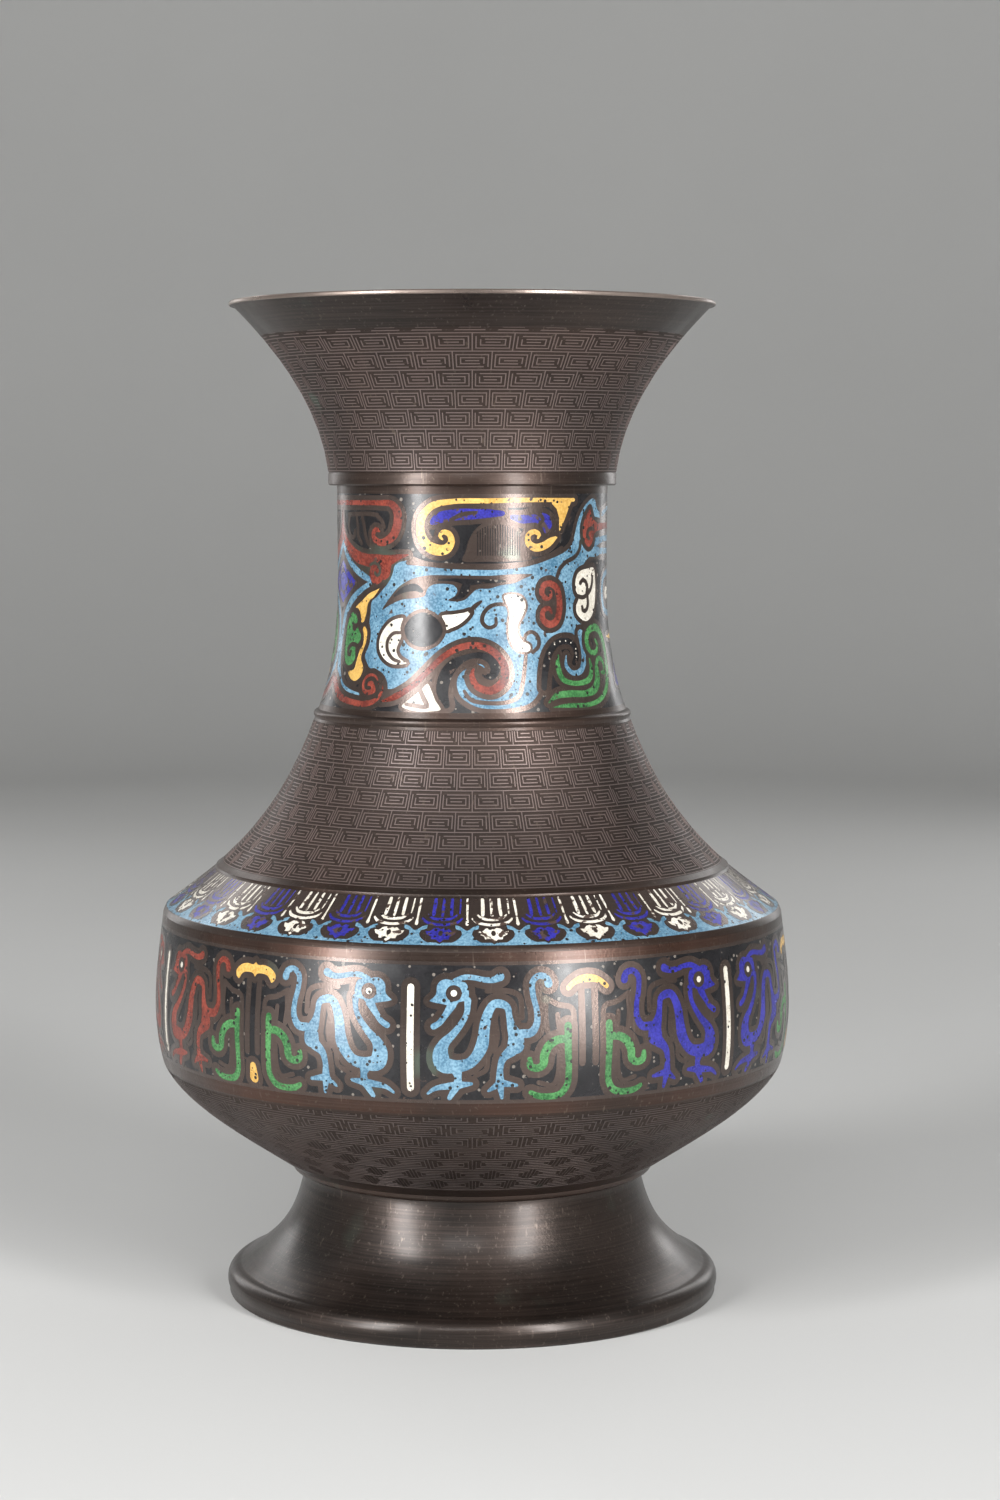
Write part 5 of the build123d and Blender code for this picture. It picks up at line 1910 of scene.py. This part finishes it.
    def _drawing(self) -> Drawing:
        """Half of the mask, from its nose to the middle of the back."""
        groups = (self._brow_jewel(), self._face(), self._crown(), self._wing(), self._horn())
        first: list[Mark] = [mark for group in groups for mark in group[0]]
        layers = [first, *(layer for group in groups for layer in group[1:]), *self._snout(),
                  *self._cheek(), *self._brow(), *self._eye(), *self._ear(), *self._claw()]
        return Drawing.cut(layers, self.nose, self.back, self.band_low, self.band_high,
                           Tint.BLACK, self.grid)

    def band(self) -> Band:
        """Both halves of the mask round the neck."""
        drawing = self._drawing()
        axis = self.nose / self.reference
        return Band(NECK_WALL, (self.back - self.nose) / math.pi,
                    [Placing(drawing, axis), Placing(drawing, axis, True)], CELL, WEB)

    def mesh(self) -> Piece:
        """The neck's casting, from its ridge to the collar, with a groove for the web."""
        seam, low, top = SHOULDER_WALL.high, NECK_LOW_WALL.low, NECK_HIGH_WALL.high
        section = (bead(seam, low, self.ridge_stand)
                   + NECK_WALL.grooved(low[1], self.band_low, self.band_high, top[1], GROOVE)
                   + [inner(top)] + NECK_WALL.outline(low[1], self.inner_top, METAL, 2.0)[::-1]
                   + [inner(seam)])
        return lathe("neck_casting", section, PAINTS.of(BRONZE))

    def build(self) -> list[Piece]:
        """The casting, the web and every enamel."""
        band = self.band()
        nodes = {tint: (f"mask_{tint.value}",) for tint in
                 (Tint.RED, Tint.TURQUOISE, Tint.YELLOW, Tint.GREEN, Tint.WHITE, Tint.BLACK)}
        nodes[Tint.BLUE] = ("mask_blue", "lozenge_blue")
        return [settle(self.mesh(), "bronze", "neck"),
                settle(band.bronze("neck_web", PAINTS.of(WEB_BRONZE)), "bronze"),
                *enamels(band, "neck", nodes, (Tint.BLUE,))]


@dataclass
class Mouth:
    """The trumpet mouth over its collar, with meander rows up to a plain lip."""

    collar_radius: float = 44.15
    collar_low: float = 249.6
    collar_high: float = 253.6
    collar_bevel: float = 0.5
    lip_low: float = 294.9
    rim_under: float = 72.9
    rim_radius: float = 74.2
    rim_inset: float = 1.4
    rim_low: float = 303.9
    top: float = 305.2
    meander: Meander = field(default_factory=lambda: Meander(
        "mouth_meander", MOUTH_WALL, 253.9, 294.9, 7.34, 32, 0.12))

    def mesh(self) -> Piece:
        """The mouth's casting, sunk where the meander stands on it."""
        wall = Wall((MOUTH_WALL,))
        collar, rim, bevel = self.collar_radius, self.rim_radius, self.collar_bevel
        mouth, low_bevel, top_bevel = self.rim_under - self.rim_inset, 0.3, 0.35
        section = ([(collar - bevel, self.collar_low), (collar, self.collar_low + bevel),
                    (collar, self.collar_high - bevel), (collar - bevel / 2, self.collar_high)]
                   + wall.outline(self.collar_high, self.lip_low, self.meander.relief)
                   + wall.outline(self.lip_low, self.rim_low)
                   + [(rim - low_bevel, self.rim_low), (rim, self.rim_low + low_bevel),
                      (rim, self.top - top_bevel), (rim - top_bevel, self.top),
                      (mouth, self.top), (self.rim_under - 1.9, self.top - 0.25)]
                   + inside(MOUTH_WALL, self.collar_high, self.rim_low - self.rim_inset)
                   + [inner(NECK_HIGH_WALL.high)])
        casting = lathe("mouth_casting", section, PAINTS.of(BRONZE))
        blacken(casting, self.collar_high, self.lip_low, PAINTS.of(GROUND_BRONZE))
        # The plain lip under the rim takes the darker bronze: painted shade.
        blacken(casting, self.lip_low, self.rim_low, PAINTS.of(SHADED_FOOT_BRONZE))
        # The rim's outer edge and top take the pale bronze: a painted highlight.
        return blacken(casting, self.rim_low + 0.1, self.top + 0.1, PAINTS.of(RIM_HIGHLIGHT_BRONZE))

    def build(self, rows: RowTree) -> list[Piece]:
        """The casting and its meander."""
        return [settle(self.mesh(), "bronze", "mouth"),
                *(settle(piece, "bronze") for piece in self.meander.build(rows))]


# ---- the studio


@dataclass(frozen=True)
class SoftBox:
    """A soft light that faces the vase.

    The azimuth is in degrees from the camera towards +X and the power in watts; the distance
    from the axis, the height of the middle, the width and the tallness are in metres.
    """

    name: str
    azimuth: float
    distance: float
    height: float
    size: Point
    power: float
    aim_height: float = 0.16

    def place(self) -> None:
        """Adds the light to the scene."""
        data = bpy.data.lights.new(self.name, "AREA")
        data.shape = "RECTANGLE"
        data.size, data.size_y = self.size
        data.energy = self.power
        light = bpy.data.objects.new(self.name, data)
        bpy.context.scene.collection.objects.link(light)
        angle = math.radians(self.azimuth)
        light.location = (self.distance * math.sin(angle), -self.distance * math.cos(angle),
                          self.height)
        aim = Vector((0.0, 0.0, self.aim_height)) - light.location
        light.rotation_euler = aim.to_track_quat("-Z", "Y").to_euler()


@dataclass
class Studio:
    """The pale sweep, the soft lights and the camera of the picture."""

    lights: tuple[SoftBox, ...] = (
        SoftBox("left_softbox", -45.0, 1.25, 0.50, (0.26, 1.2), 22.0),
        SoftBox("right_softbox", 35.0, 1.25, 0.50, (0.26, 1.2), 22.0),
        SoftBox("front_softbox", -6.0, 1.9, 1.25, (0.9, 0.5), 7.0),
        SoftBox("back_left_softbox", -142.0, 1.3, 0.6, (0.3, 0.9), 2.0),
        SoftBox("back_right_softbox", 146.0, 1.3, 0.6, (0.3, 0.9), 2.0),
    )
    sky_strength: float = 0.17
    corner: float = 0.9
    sweep_sides: int = 96
    floor_radius: float = 2.6
    wall_height: float = 1.9
    lens: float = 76.8
    sensor: float = 36.0
    distance: float = 0.985
    eye_height: float = 0.2534
    tilt: float = 4.95
    shift: float = 0.0185

    def _sweep(self) -> Piece:
        """A round floor that curves up all the way round."""
        corner, steps = self.corner, self.sweep_sides
        section = [(0.0, 0.0), (self.floor_radius - corner, 0.0)]
        for step in range(1, 13):
            turn = math.radians(90 * step / 12)
            section.append((self.floor_radius - corner + corner * math.sin(turn),
                            corner - corner * math.cos(turn)))
        section.append((self.floor_radius, self.wall_height))
        points, faces = [(0.0, 0.0, 0.0)], []
        for turn in range(steps):
            angle = TURN * turn / steps
            points += [(r * math.cos(angle), r * math.sin(angle), z) for r, z in section[1:]]
        rows = len(section) - 1
        for turn in range(steps):
            here, after = 1 + turn * rows, 1 + (turn + 1) % steps * rows
            faces.append((0, here, after))
            faces += [(here + k, here + k + 1, after + k + 1, after + k) for k in range(rows - 1)]
        return make_piece("studio_sweep", np.array(points), faces, PAINTS.of(StudioFinish()))

    def build(self) -> None:
        """Sets the floor, the lights, the world and the camera."""
        self._sweep()
        for light in self.lights:
            light.place()
        scene = bpy.context.scene
        world = bpy.data.worlds.new("studio_world")
        world.use_nodes = True
        sky = world.node_tree.nodes["Background"]
        sky.inputs["Color"].default_value = (1.0, 1.0, 1.0, 1.0)
        sky.inputs["Strength"].default_value = self.sky_strength
        scene.world = world
        scene.view_settings.view_transform = "Standard"
        camera = bpy.data.cameras.new("camera")
        camera.lens = self.lens
        camera.sensor_fit = "VERTICAL"
        camera.sensor_height = self.sensor
        camera.shift_x = self.shift
        camera.clip_start, camera.clip_end = 0.05, 20.0
        eye = bpy.data.objects.new("camera", camera)
        eye.location = (0.0, -self.distance, self.eye_height)
        eye.rotation_euler = (math.radians(90 - self.tilt), 0.0, 0.0)
        scene.collection.objects.link(eye)
        scene.camera = eye


def main() -> None:
    """Builds the studio and every sub-assembly."""
    logging.basicConfig(level=logging.INFO, format="%(message)s", stream=sys.stdout)
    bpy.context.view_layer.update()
    Studio().build()
    rows = RowTree()
    parts: tuple[Callable[[], list[Piece]], ...] = (
        Foot().build, lambda: Bowl().build(rows), Belly().build,
        lambda: Slope().build(rows), Neck().build, lambda: Mouth().build(rows),
    )
    for build in parts:
        for piece in build():
            LOG.info("%s: %d faces", piece.name, len(piece.data.polygons))


if __name__ == "__main__":
    main()
